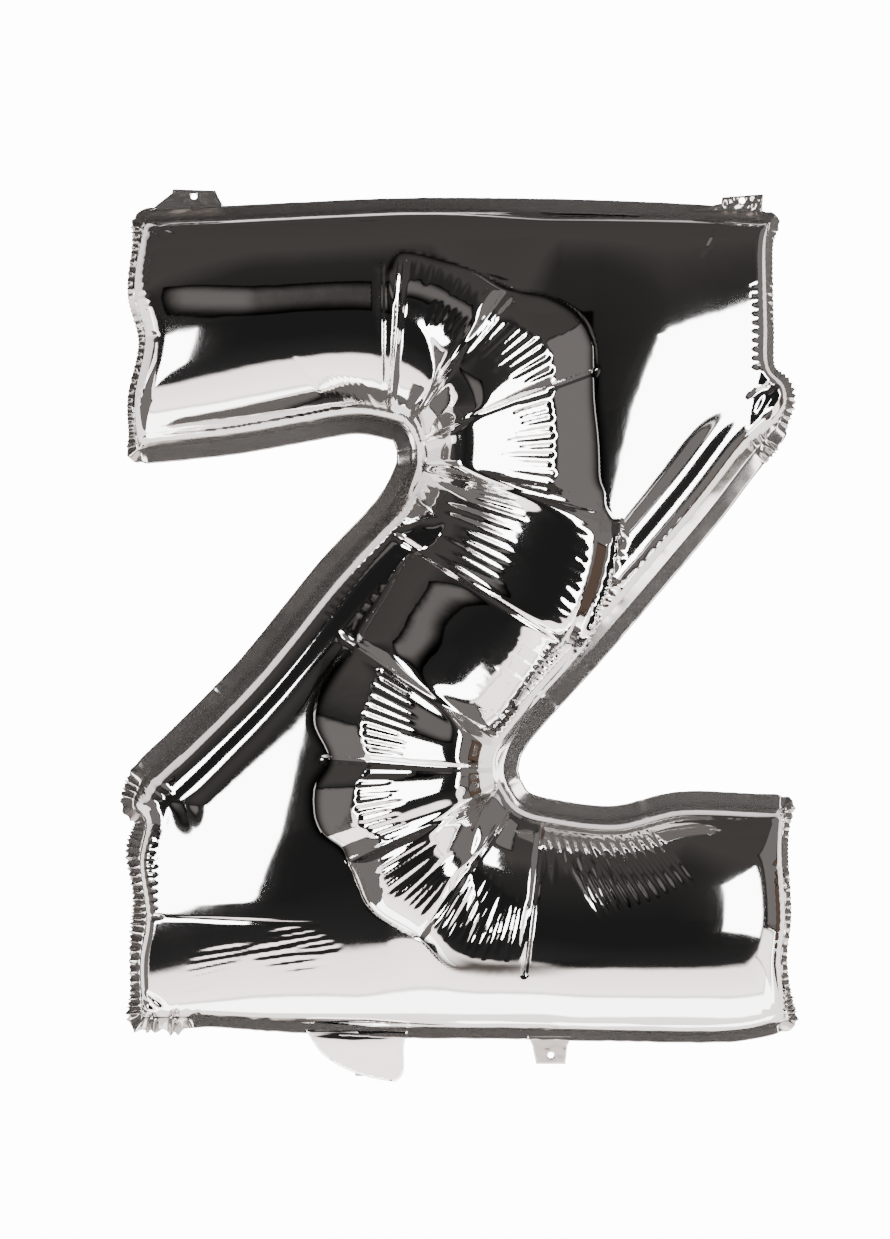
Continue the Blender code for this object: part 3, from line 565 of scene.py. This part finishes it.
def edgesOf(tris):
    # every side once, which of them each triangle has, and how many triangles share it
    ends = np.sort(np.concatenate([tris[:, [0, 1]], tris[:, [1, 2]], tris[:, [2, 0]]]), axis=1)
    edges, inverse, counts = np.unique(ends, axis=0, return_inverse=True, return_counts=True)
    return edges, inverse.reshape(3, -1).T, counts


def joined(points, ties, kind):
    # Delaunay's triangles over the points, all turned the same way, with their middles and which are no slivers:
    # all that there are for the kind 0, and those inside the ties for the kind 1
    verts, _, faces, _, _, _ = delaunay_2d_cdt([Vector(q) for q in points], ties, [], kind, 1e-6, True)
    q = np.array([tuple(v) for v in verts])
    tris = np.array([tuple(f) for f in faces], np.int64)
    a, b, c = q[tris[:, 0]], q[tris[:, 1]], q[tris[:, 2]]
    area = (b[:, 0] - a[:, 0]) * (c[:, 1] - a[:, 1]) - (b[:, 1] - a[:, 1]) * (c[:, 0] - a[:, 0])
    tris[area < 0] = tris[area < 0][:, [0, 2, 1]]
    return q, tris, (a + b + c) / 3, np.abs(area) > 1e-6


def firstMesh(loop, spacing):
    # the seam's points and a net of even triangles inside it, joined by Delaunay's rule
    low, high = loop.min(0), loop.max(0)
    rowStep = spacing * math.sqrt(0.75)
    rows = np.arange(int((high[1] - low[1]) / rowStep) + 2)
    cols = np.arange(int((high[0] - low[0]) / spacing) + 2)
    x = low[0] + cols[None, :] * spacing + (rows[:, None] % 2) * spacing / 2
    z = np.broadcast_to((low[1] + rows * rowStep)[:, None], x.shape)
    net = np.stack([x, z], axis=-1).reshape(-1, 2)
    net = net[insideLoop(net, loop)]
    net = net[nearest(net, loop)[0] > 0.6 * spacing]
    n = len(loop)
    p, tris, middle, keep = joined(np.vstack([loop, net]), [(i, (i + 1) % n) for i in range(n)], 1)
    return p, tris[keep & insideLoop(middle, loop)]


def subdivide(tris, p):
    # each triangle becomes four, with new points at the middles of its sides
    edges, sides, _ = edgesOf(tris)
    m = len(p) + sides
    a, b, c = tris.T
    ab, bc, ca = m.T
    finer = np.concatenate([np.stack(t, 1) for t in ((a, ab, ca), (ab, b, bc), (ca, bc, c), (ab, bc, ca))])
    return finer, np.concatenate([p, 0.5 * (p[edges[:, 0]] + p[edges[:, 1]])])


def spread(shape, tris, p, rounds, pace):
    # springs of equal length along every side, measured on the film: points move in plan until the net is even
    edges, _, counts = edgesOf(tris)
    boundary = np.unique(edges[counts == 1])
    free = np.ones(len(p), bool)
    free[boundary] = False
    i, j = edges.T
    degree = np.bincount(edges.ravel(), minlength=len(p))
    for _ in range(rounds):
        y = shape.depth(p, fine=False)
        q = np.column_stack([p[:, 0], y, p[:, 1]])
        d = q[j] - q[i]
        size = np.linalg.norm(d, axis=1)
        want = np.median(size)
        pull = d * ((size - want) / np.maximum(size, 1e-6))[:, None]
        move = np.stack([
            np.bincount(i, pull[:, k], len(p)) - np.bincount(j, pull[:, k], len(p)) for k in range(3)
        ], axis=1) / degree[:, None]
        # the slope of the film turns a move in depth into one in plan
        e = 0.2
        gx = (shape.depth(p + [e, 0], fine=False) - y) / e
        gz = (shape.depth(p + [0, e], fine=False) - y) / e
        g = np.stack([gx, gz], axis=1)
        steep = 1 + gx * gx + gz * gz
        plan = move[:, [0, 2]] + g * move[:, 1:2]
        plan -= g * ((g * plan).sum(1) / steep)[:, None]
        p[free] += pace * plan[free]
    return p


def filmMesh(shape, halvings):
    loop = seamLoop(1.0)
    p, tris = firstMesh(seamLoop(letter["mesh"]), letter["mesh"])
    p = spread(shape, tris, p, 60, 0.5)
    for k in range(halvings):
        tris, p = subdivide(tris, p)
        edges, _, counts = edgesOf(tris)
        boundary = np.unique(edges[counts == 1])
        p[boundary] = nearest(p[boundary], loop)[1]
        p = spread(shape, tris, p, 24 if k < 2 else 8, 0.5)
    return p, tris


def newPiece(name, verts, faces):
    mesh = bpy.data.meshes.new(name)
    mesh.from_pydata(verts, [], faces)
    piece = bpy.data.objects.new(name, mesh)
    bpy.context.collection.objects.link(piece)
    return piece


def filmObject(name, shape, p, tris, side):
    # the net's points at the shape's depth, in front of the seam's plane (side -1) or behind it (1)
    verts = np.column_stack([p[:, 0], side * shape.depth(p), p[:, 1]]) / 1000
    piece = newPiece(name, verts, tris if side < 0 else tris[:, ::-1])
    piece.data.shade_smooth()
    # the painted shade along the tuck beside the tube, carried to the material
    tuck_shade = piece.data.attributes.new("tuck_shade", "FLOAT", "POINT")
    tuck_shade.data.foreach_set("value", shape.tuck_shade.astype(np.float32))
    return piece


def closedSheet(name, points, tris, away):
    # a thin sheet: the faces, the same faces carried off by the offsets, and a wall along every open edge
    n = len(points)
    ends = np.concatenate([tris[:, [0, 1]], tris[:, [1, 2]], tris[:, [2, 0]]])
    _, sides, counts = edgesOf(tris)
    a, b = ends[counts[sides.T.ravel()] == 1].T
    faces = np.concatenate([
        tris, tris[:, ::-1] + n, np.stack([b, a, a + n], 1), np.stack([b, a + n, b + n], 1)])
    piece = newPiece(name, np.vstack([points, points + away]) / 1000, faces)
    piece.data.shade_smooth()
    return piece


def netFaces(rows, columns, ring):
    # two triangles for each cell of a net of points, joined end to start along its rows where it is a ring
    i, j = np.meshgrid(np.arange(rows if ring else rows - 1), np.arange(columns - 1), indexing="ij")
    here, right = i * columns + j, ((i + 1) % rows) * columns + j
    a, b, c, d = here.ravel(), right.ravel(), (right + 1).ravel(), (here + 1).ravel()
    return np.concatenate([np.stack([a, b, c], 1), np.stack([a, c, d], 1)])


def settle(values, reach, spacing):
    # running mean round a closed line, weighted by a bell of the given reach
    k = np.arange(-int(3 * reach / spacing), int(3 * reach / spacing) + 1)
    bell = np.exp(-0.5 * (k * spacing / reach) ** 2)
    bell /= bell.sum()
    long = np.concatenate([values[k[0]:], values, values[:k[-1]]])
    return np.convolve(long, bell, "valid")


margin = {
    "step": 0.7,            # spacing of its points along the seam
    "across": 9,            # how many stand side by side from the weld to the free edge
    "film": 0.30,           # thickness of the two welded plies
    # for each stretch of the seam, as in the letter's list: width, wave length, wave height, and how far it
    # leans back in degrees
    "stretches": [
        (7.6, 30, 0.16, 30), (4.6, 4.0, 0.9, 38), (7.4, 34, 0.14, 7), (7.2, 24, 0.20, 16), (4.4, 4.2, 0.9, 42),
        (5.0, 26, 0.30, 6), (5.6, 4.4, 1.1, 26), (7.8, 34, 0.14, 14), (7.4, 22, 0.16, 6), (4.6, 4.0, 0.8, 42),
    ],
    # gathers: x, z, reach along the seam, added width, wave height
    "gathers": [
        (-149, -16, 7, 1.5, 2.2), (153, -13, 6, 0.5, 1.2), (159.5, -96, 11, 1.0, 2.4), (150, -119, 7, 0.5, 2.0),
        (160, -295, 6, 0.5, 1.4), (161, -392, 8, 1.0, 2.4), (-149.7, -395, 8, 2.5, 3.0), (-134, -397, 7, 3.5, 3.4),
        (-150, -350, 12, 2.5, 2.0), (-151, -313, 13, 2.5, 2.0), (-152, -287, 7, 1.5, 2.4), (-152, -122, 5, 0.5, 1.2),
    ],
}


def makeMargin():
    # each point stands on the seam, moved outwards by its share of the width and leant back by the stretch's angle;
    # waves of crossed sines grow from nothing at the weld to their full height at the free edge
    step = margin["step"]
    stretches = [evenly(curveThrough(np.array(k), 12), step)[:-1] for k in letter["seam"]]
    line = np.vstack(stretches)
    width, length, height, lean = np.vstack(
        [np.tile(row, (len(k), 1)) for row, k in zip(margin["stretches"], stretches)]).T
    along = np.roll(line, -1, axis=0) - np.roll(line, 1, axis=0)
    out = np.stack([-along[:, 1], along[:, 0]], axis=1)
    out /= np.linalg.norm(out, axis=1)[:, None]
    out = np.stack([settle(out[:, k], 2.0, step) for k in (0, 1)], axis=1)
    out /= np.linalg.norm(out, axis=1)[:, None]
    width, height, lean = (settle(k, 5.0, step) for k in (width, height, lean))
    for x, z, reach, more, tall in margin["gathers"]:
        near = np.exp(-(((line - [x, z]) ** 2).sum(1)) / reach**2)
        width = width + more * near
        height = height + tall * near
        length = length * (1 - near) + 3.4 * near
    r = np.random.default_rng(11)
    phase = np.cumsum(step / length) * 2 * math.pi
    phase += 1.3 * settle(r.normal(0, 1, len(line)), 6.0, step) * 8
    swell = 1 + 0.9 * settle(r.normal(0, 1, len(line)), 9.0, step) * 5
    wave = height * swell * (np.sin(phase) + 0.35 * np.sin(2.3 * phase + 1.0))
    ragged = 0.35 * height * np.sin(1.7 * phase + 2.0)
    t = np.linspace(-0.10, 1, margin["across"])[None, :]
    lean = np.radians(lean)[:, None]
    reach = (width + ragged)[:, None] * t
    curl = np.clip(t, 0, 1) ** 1.3
    x = line[:, :1] + out[:, :1] * reach * np.cos(lean)
    z = line[:, 1:] + out[:, 1:] * reach * np.cos(lean)
    y = np.clip(reach, 0, None) * np.sin(lean) + wave[:, None] * curl
    points = np.stack([x, y - margin["film"] / 2, z], axis=-1).reshape(-1, 3)
    away = np.zeros_like(points)
    away[:, 1] = margin["film"]
    tris = netFaces(len(line), margin["across"], True)[:, ::-1]
    return closedSheet("crimped_margin", points, tris, away)


tabs = {
    "film": 0.30,
    "hole": 1.5,            # radius of the string holes
    "spacing": 1.1,
    # for each tab: outline in order, hole, height of its crumples and of its one bow, how far it leans
    "hanging_tab_top_left": {
        "outline": [(-145.8, -7.0), (-135.2, 1.4), (-134.9, 3.3), (-114.2, 2.6), (-112.8, -0.6), (-110.0, -5.6)],
        "hole": (-124.6, -0.2), "crumple": 0.5, "fold": 1.2, "lean": 0.0},
    "hanging_tab_top_right": {
        "outline": [(114.6, -7.0), (129.6, -3.6), (129.9, -0.6), (149.8, 0.9), (149.4, -4.0), (149.2, -7.6)],
        "hole": (139.6, -2.2), "crumple": 1.5, "fold": 0.6, "lean": 0.0},
    "hanging_tab_bottom": {
        "outline": [(36.6, -405.2), (57.4, -405.2), (55.4, -410.0), (54.6, -419.0), (40.4, -419.0), (38.6, -410.0)],
        "hole": (47.5, -414.5), "crumple": 0.35, "fold": 0.0, "lean": 0.5},
}


def sheetNet(outline, spacing, hole=None, radius=1.5):
    # an even net of triangles inside the outline, less a round hole
    closed = np.vstack([outline, outline[:1]])
    loop = np.vstack([evenly(closed[k:k + 2], spacing)[:-1] for k in range(len(outline))])
    low, high = loop.min(0), loop.max(0)
    x, z = np.meshgrid(np.arange(low[0], high[0], spacing), np.arange(low[1], high[1], spacing))
    net = np.stack([x.ravel(), z.ravel()], axis=1)
    net = net[insideLoop(net, loop)]
    net = net[nearest(net, loop)[0] > 0.55 * spacing]
    n = len(loop)
    ties = [(i, (i + 1) % n) for i in range(n)]
    points = [loop]
    if hole is not None:
        angle = np.linspace(0, 2 * math.pi, 25)[:-1]
        ring = np.array(hole) + radius * np.stack([np.cos(angle), np.sin(angle)], axis=1)
        net = net[np.linalg.norm(net - hole, axis=1) > radius + 0.5 * spacing]
        ties += [(n + i, n + (i + 1) % 24) for i in range(24)]
        points.append(ring)
    q, tris, middle, keep = joined(np.vstack(points + [net]), ties, 0)
    keep &= insideLoop(middle, loop)
    if hole is not None:
        keep &= np.linalg.norm(middle - hole, axis=1) > radius * 0.98
    return q, tris[keep]


def crumpled(q, height, grain, seed):
    # facets of crushed film: six folded planes added up, each the distance to the nearest of its parallel creases
    r = np.random.default_rng(seed)
    out = np.zeros(len(q))
    for k in range(6):
        turn = r.uniform(0, math.pi)
        along = (q[:, 0] * math.cos(turn) + q[:, 1] * math.sin(turn)) / (grain * r.uniform(0.7, 1.6)) + r.uniform(0, 1)
        out += np.abs(along - np.floor(along) - 0.5) * 4 - 1
    return height * out / 4


def makeTab(name, spec, seed):
    # a flat net whose depth is crumples that grow away from its root, less half a sine along it, plus its lean
    q, tris = sheetNet(np.array(spec["outline"], float), tabs["spacing"], spec["hole"], tabs["hole"])
    y = crumpled(q, spec["crumple"], 5.0, seed)
    low, high = q[:, 1].min(), q[:, 1].max()
    up = (q[:, 1] - low) / (high - low)
    root = up if "top" in name else 1 - up
    y = y * smooth(root * 2.5) - spec["fold"] * np.sin(math.pi * np.clip(root * 1.4, 0, 1)) * 0.6
    y += spec["lean"] * (high - q[:, 1] if "bottom" in name else q[:, 1] - low)
    points = np.stack([q[:, 0], y - tabs["film"] / 2, q[:, 1]], axis=1)
    return closedSheet(name.replace("hanging", "film"), points, tris, np.array([0, tabs["film"], 0]))


tail = {
    # outline below the seam, from the left root round to the right root
    "outline": [(-71.0, -402.0), (-62.4, -414.6), (-48.4, -423.2), (-31.0, -428.0),
                (-25.6, -426.6), (-23.4, -421.6), (-23.4, -411.0), (-21.6, -402.6)],
    "root": -402.5,         # height from which it leans
    "left": -70.0,
    "width": 47.0,
    "spacing": 1.2,
    "film": 0.25,
    "lean": 0.62,           # how fast it hangs back below the seam
    "bow": 0.8,
    "gap": 0.9,             # between its two plies
}


def makeTailPly(name, front):
    # a flat net that leans back in line with its drop below the seam, with half a sine across it and faint folds
    q, tris = sheetNet(curveThrough(np.array(tail["outline"]), 5), tail["spacing"])
    drop = np.clip(tail["root"] - q[:, 1], 0, None)
    share = (q[:, 0] - tail["left"]) / tail["width"]
    y = tail["lean"] * drop - tail["bow"] * np.sin(share * math.pi) * smooth(drop / 8)
    y += crumpled(q, 0.12, 12.0, 5 if front else 6) * smooth(drop / 6)
    y += (-tail["gap"] if front else tail["gap"]) * smooth(drop / 5) - (0.4 if front else -0.1)
    points = np.stack([q[:, 0], y, q[:, 1]], axis=1)
    return closedSheet(name, points, tris, np.array([0, tail["film"], 0]))


valve = {"left": -47.2, "right": -27.8, "top": -406.4, "bottom": -425.5, "film": 0.12, "ripple": 0.25}


def makeValve():
    # a flat sleeve between the tail's plies, leaning as they do, with a ripple down it: a sine of the share of its
    # length times a parabola across
    rows, columns = 25, 31
    across, down = np.meshgrid(np.linspace(0, 1, rows), np.linspace(0, 1, columns), indexing="ij")
    across, down = across.ravel(), down.ravel()
    z = valve["top"] - (valve["top"] - valve["bottom"]) * down
    y = tail["lean"] * (tail["root"] - z) + valve["ripple"] * (1 - (2 * across - 1) ** 2) * np.sin(down * 9)
    points = np.stack([valve["left"] + (valve["right"] - valve["left"]) * across, y, z], axis=1)
    return closedSheet("valve_sleeve_film", points, netFaces(rows, columns, False), np.array([0, valve["film"], 0]))


# drift is how far the roughness wanders, relief is millimetres, and grain is how many bumps there are to the metre
finishes = {
    "silver": {
        "tint": (0.90, 0.88, 0.87), "metal": 1.0, "roughness": 0.045, "drift": 0.03, "relief": 0.09, "grain": 60},
    "welded": {
        "tint": (0.46, 0.43, 0.41), "metal": 0.82, "roughness": 0.12, "drift": 0.05, "relief": 0.012, "grain": 160},
    "valve": {
        "tint": (0.80, 0.81, 0.82), "metal": 0.0, "roughness": 0.25, "drift": 0.08, "relief": 0.02, "grain": 120},
    # painted shade: the dark colour along the tuck beside the tube
    "tuckShadeColour": (0.035, 0.032, 0.03),
}


def setSockets(node, values):
    for name, value in values.items():
        node.inputs[name].default_value = value
    return node


def newMaterial(name, values):
    # its nodes, its links and its shader too, which takes the values
    made = bpy.data.materials.new(name)
    made.use_nodes = True
    nodes = made.node_tree.nodes
    return made, nodes, made.node_tree.links, setSockets(nodes["Principled BSDF"], values)


def mirrorFilm(name, spec, withTuckShade=False):
    # a film with two faint reliefs, one broad and one fine, a roughness that drifts a little, and where asked a
    # painted shade along the tuck beside the tube
    made, nodes, links, shader = newMaterial(name, {"Base Color": (*spec["tint"], 1), "Metallic": spec["metal"]})
    where = nodes.new("ShaderNodeTexCoord")

    def noiseOf(scale, detail):
        noise = setSockets(nodes.new("ShaderNodeTexNoise"), {"Scale": scale, "Detail": detail})
        links.new(where.outputs["Object"], noise.inputs["Vector"])
        return noise.outputs["Fac"]

    bump = None
    for scale, height in ((spec["grain"], spec["relief"]), (spec["grain"] * 7, spec["relief"] * 0.06)):
        nextBump = setSockets(nodes.new("ShaderNodeBump"), {"Strength": 1.0, "Distance": height / 1000})
        links.new(noiseOf(scale, 1.5), nextBump.inputs["Height"])
        if bump:
            links.new(bump.outputs["Normal"], nextBump.inputs["Normal"])
        bump = nextBump
    links.new(bump.outputs["Normal"], shader.inputs["Normal"])
    rough = spec["roughness"]
    drift = setSockets(nodes.new("ShaderNodeMapRange"), {
        "From Min": 0.35, "From Max": 0.70, "To Min": rough, "To Max": rough + spec["drift"]})
    links.new(noiseOf(22, 4), drift.inputs["Value"])
    links.new(drift.outputs["Result"], shader.inputs["Roughness"])
    if withTuckShade:  # painted shade: the colour darkens where the film tucks in beside the tube
        tuck_shade = nodes.new("ShaderNodeAttribute")
        tuck_shade.attribute_name = "tuck_shade"
        darker = nodes.new("ShaderNodeMix")
        darker.data_type = "RGBA"
        links.new(tuck_shade.outputs["Fac"], darker.inputs["Factor"])
        colours = [i for i in darker.inputs if i.type == "RGBA"]
        colours[0].default_value = (*spec["tint"], 1)
        colours[1].default_value = (*finishes["tuckShadeColour"], 1)
        links.new([o for o in darker.outputs if o.type == "RGBA"][0], shader.inputs["Base Color"])
    return made


# the silver film is painted darker along the tuck beside the tube, as shade
silver = mirrorFilm("silver film", finishes["silver"], withTuckShade=True)
shape = Shape(4)
p, tris = filmMesh(shape, 3)
report(f"film net: {len(p)} points, {len(tris)} triangles")
front = filmObject("front_film", shape, p, tris, -1)
back = filmObject("back_film", shape, p, tris, 1)
for piece, node in ((front, "front_film"), (back, "back_film")):
    piece.data.materials.append(silver)
    piece.name = piece.data.name = "puffed_" + node
    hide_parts(node)
    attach(piece, "root")

welded = mirrorFilm("welded film", finishes["welded"])
rim = makeMargin()
rim.data.materials.append(welded)
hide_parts("seam_flange")
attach(rim, "root")
for k, name in enumerate(("hanging_tab_top_left", "hanging_tab_top_right", "hanging_tab_bottom")):
    piece = makeTab(name, tabs[name], 20 + k)
    piece.data.materials.append(welded)
    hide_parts(name)
    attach(piece, "root")
plain = mirrorFilm("tail film", finishes["silver"])
for name, node, isFront in (("tail_flap_front", "tail_front_ply", True), ("tail_flap_back", "tail_back_ply", False)):
    piece = makeTailPly(name, isFront)
    piece.data.materials.append(plain)
    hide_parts(node)
    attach(piece, "root")
sleeve = makeValve()
sleeve.data.materials.append(mirrorFilm("valve film", finishes["valve"]))
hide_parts("valve_sleeve")
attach(sleeve, "root")
report("margin, tabs, tail and valve")

# The room is a world shader, because a mirror film shows nothing but its room. Angles in degrees.
studio = {
    # round the room's x axis from the camera's direction, up over the ceiling: angle, brightness, tint
    "bands": [
        (-180, 2.2, (1.0, 0.94, 0.91)), (-112, 2.6, (1.0, 0.94, 0.91)), (-110, 7.0, (1, 1, 1)), (-81, 7.0, (1, 1, 1)),
        (-79, 2.4, (1.0, 0.94, 0.91)), (-77, 2.4, (1.0, 0.94, 0.91)), (-75, 3.6, (1.0, 0.92, 0.88)),
        (-46, 2.8, (1.0, 0.92, 0.88)), (-43, 0.03, (1.0, 0.98, 0.98)),
        (-20, 0.016, (1.0, 0.98, 0.98)), (5, 0.016, (1.0, 0.98, 0.98)), (41, 0.026, (1.0, 0.97, 0.95)),
        (60, 0.030, (1.0, 0.97, 0.95)), (85, 0.066, (1.0, 0.93, 0.88)), (126, 0.060, (1.0, 0.93, 0.88)),
        (130, 0.03, (0.75, 0.95, 1.0)), (133, 0.35, (1.0, 0.93, 0.90)), (150, 1.4, (1.0, 0.93, 0.91)),
        (180, 1.7, (1.0, 0.94, 0.91)),
    ],
    # one at either side, in metres, with how far in from its edges its light fades
    "soft boxes": [
        {"x": -0.62, "front": -1.22, "back": -0.62, "low": -0.67, "high": -0.125, "fade": 0.025, "brightness": 12.0},
        {"x": 0.62, "front": -1.22, "back": -0.60, "low": -0.62, "high": 0.42, "fade": 0.025, "brightness": 12.0},
    ],
    # grey-brown boards behind them
    "side boards": [
        {"x": -0.62, "front": -0.49, "back": 0.30, "low": -1.00, "high": -0.175, "fade": 0.06, "brightness": 0.19},
        {"x": 0.62, "front": -0.50, "back": 0.45, "low": -0.47, "high": 0.60, "fade": 0.06, "brightness": 0.19},
    ],
    "brown board": {
        "x": 0.60, "front": 0.02, "back": 0.45, "low": -0.50, "high": -0.22, "fade": 0.04, "brightness": 0.12},
    "pale card": {
        "x": 0.62, "front": -0.58, "back": -0.10, "low": -0.80, "high": -0.48, "fade": 0.03, "brightness": 3.0},
    "grey wall": {
        "left": -0.95, "right": 0.02, "front": -1.15, "low": 0.02, "high": 0.72, "fade": 0.28, "brightness": 0.16},
    "brightest": 16.0,      # the world's strength, which the bands are shares of
    # how far the room's bands climb towards the sides, in degrees
    "climb": {"below": 100, "above": 70},
    "seen background": 14.0,
    "floor": {"height": -0.62, "radius": 0.72, "tint": (0.80, 0.78, 0.77), "roughness": 0.6},
}


def roomShader(world):
    # colour bands by the angle round the room's x axis, which bend up or down towards the sides
    world.use_nodes = True
    nodes, links = world.node_tree.nodes, world.node_tree.links
    nodes.clear()

    def calculate(kind, *values):
        n = nodes.new("ShaderNodeMath")
        n.operation = kind
        for k, x in enumerate(values):
            if hasattr(x, "links"):
                links.new(x, n.inputs[k])
            else:
                n.inputs[k].default_value = x
        return n.outputs[0]

    where = nodes.new("ShaderNodeTexCoord")
    parts = nodes.new("ShaderNodeSeparateXYZ")
    links.new(where.outputs["Generated"], parts.inputs[0])
    x, y, z = parts.outputs
    ahead = calculate("MULTIPLY", y, -1.0)
    tilt = calculate("ARCTAN2", z, ahead)
    wide = calculate("ABSOLUTE", x)
    below, above = (math.radians(studio["climb"][k]) for k in ("below", "above"))
    isLow = calculate("LESS_THAN", z, 0.0)
    isAhead = calculate("GREATER_THAN", ahead, 0.0)
    isHigh = calculate("MULTIPLY", calculate("GREATER_THAN", z, 0.0), isAhead)
    aside = calculate("MAXIMUM", calculate("SUBTRACT", wide, 0.5), 0.0)
    down = calculate("MULTIPLY", calculate("MULTIPLY", aside, -below), isLow)
    up = calculate("MULTIPLY", calculate("MULTIPLY", calculate("MINIMUM", wide, 0.6), above), isHigh)
    tilt = calculate("ADD", tilt, calculate("MULTIPLY", calculate("ADD", down, up), isAhead))
    ramp = nodes.new("ShaderNodeValToRGB")
    links.new(calculate("MULTIPLY_ADD", tilt, 0.5 / math.pi, 0.5), ramp.inputs[0])
    top = studio["brightest"]
    stops = ramp.color_ramp.elements
    while len(stops) < len(studio["bands"]):
        stops.new(0.5)
    for stop, (angle, bright, tint) in zip(stops, studio["bands"]):
        stop.position = (angle + 180) / 360
        stop.color = (*[bright * c / top for c in tint], 1)
    # seen directly, the background is plain and pale
    ray = nodes.new("ShaderNodeLightPath")
    seen = nodes.new("ShaderNodeMix")
    seen.data_type = "RGBA"
    colours = [i for i in seen.inputs if i.type == "RGBA"]
    links.new(ray.outputs["Is Camera Ray"], seen.inputs["Factor"])
    links.new(ramp.outputs[0], colours[0])
    colours[1].default_value = (*[studio["seen background"] / top] * 3, 1)
    back = nodes.new("ShaderNodeBackground")
    links.new([o for o in seen.outputs if o.type == "RGBA"][0], back.inputs["Color"])
    back.inputs["Strength"].default_value = top
    out = nodes.new("ShaderNodeOutputWorld")
    links.new(back.outputs[0], out.inputs["Surface"])


def glowing(name, corners, tint, spec):
    # a plane of light for the film to reflect, unseen by the camera; it fades out over the last centimetres of
    # each edge, as a product of smooth steps
    made, nodes, links, shader = newMaterial(
        name, {"Base Color": (0, 0, 0, 1), "Specular IOR Level": 0, "Emission Color": (*tint, 1)})
    where = nodes.new("ShaderNodeTexCoord")
    parts = nodes.new("ShaderNodeSeparateXYZ")
    links.new(where.outputs["Object"], parts.inputs[0])
    low, high = np.min(corners, axis=0), np.max(corners, axis=0)
    fade = spec["fade"]
    light = None
    for axis in np.flatnonzero(high - low > 1e-6):
        for start, end in ((low[axis], low[axis] + fade), (high[axis], high[axis] - fade)):
            step = setSockets(nodes.new("ShaderNodeMapRange"), {"From Min": start, "From Max": end})
            step.interpolation_type = "SMOOTHSTEP"
            links.new(parts.outputs[int(axis)], step.inputs["Value"])
            if light is None:
                step.inputs["To Max"].default_value = spec["brightness"]
                light = step.outputs["Result"]
            else:
                times = nodes.new("ShaderNodeMath")
                times.operation = "MULTIPLY"
                links.new(light, times.inputs[0])
                links.new(step.outputs["Result"], times.inputs[1])
                light = times.outputs[0]
    links.new(light, shader.inputs["Emission Strength"])
    piece = newPiece(name, corners, [(0, 1, 2, 3)])
    piece.data.materials.append(made)
    piece.visible_camera = False


def besideIt(name, spec, tint):
    x, y0, y1, z0, z1 = (spec[k] for k in ("x", "front", "back", "low", "high"))
    glowing(name, [(x, y0, z0), (x, y1, z0), (x, y1, z1), (x, y0, z1)], tint, spec)


def acrossIt(name, spec, tint):
    x0, x1, y, z0, z1 = (spec[k] for k in ("left", "right", "front", "low", "high"))
    glowing(name, [(x0, y, z0), (x1, y, z0), (x1, y, z1), (x0, y, z1)], tint, spec)


def floorDisc():
    # a pale round table below the balloon, left out of its own reflections
    spec = studio["floor"]
    angle = np.linspace(0, 2 * math.pi, 97)[:-1]
    ring = np.stack([np.cos(angle), np.sin(angle), 0 * angle], axis=1) * spec["radius"] + [0, 0, spec["height"]]
    piece = newPiece("floor", ring, [tuple(range(len(ring)))])
    piece.data.materials.append(
        newMaterial("floor", {"Base Color": (*spec["tint"], 1), "Roughness": spec["roughness"]})[0])
    piece.visible_glossy = False


for side, box, board in zip(("left", "right"), studio["soft boxes"], studio["side boards"]):
    besideIt("soft_box_" + side, box, (1, 1, 1))
    besideIt("side_board_" + side, board, (1.0, 0.94, 0.90))
besideIt("brown_board", studio["brown board"], (1.0, 0.68, 0.52))
besideIt("pale_card", studio["pale card"], (1.0, 0.93, 0.90))
acrossIt("grey_wall", studio["grey wall"], (1.0, 0.94, 0.90))
floorDisc()
world = bpy.data.worlds.new("studio")
bpy.context.scene.world = world
roomShader(world)
report("studio")

# metres: how far away it stands, what it looks at, and how tall the picture is there
view = {"distance": 2.4, "x": -0.003615, "z": -0.204127, "pictureHeight": 0.597198, "sensor": 24.0}
camera = bpy.data.cameras.new("camera")
camera.sensor_fit = "VERTICAL"
camera.sensor_height = view["sensor"]
camera.lens = view["sensor"] * view["distance"] / view["pictureHeight"]
eye = bpy.data.objects.new("camera", camera)
eye.location = (view["x"], -view["distance"], view["z"])
eye.rotation_euler = (math.pi / 2, 0, 0)
bpy.context.collection.objects.link(eye)
bpy.context.scene.camera = eye

report("scene made")
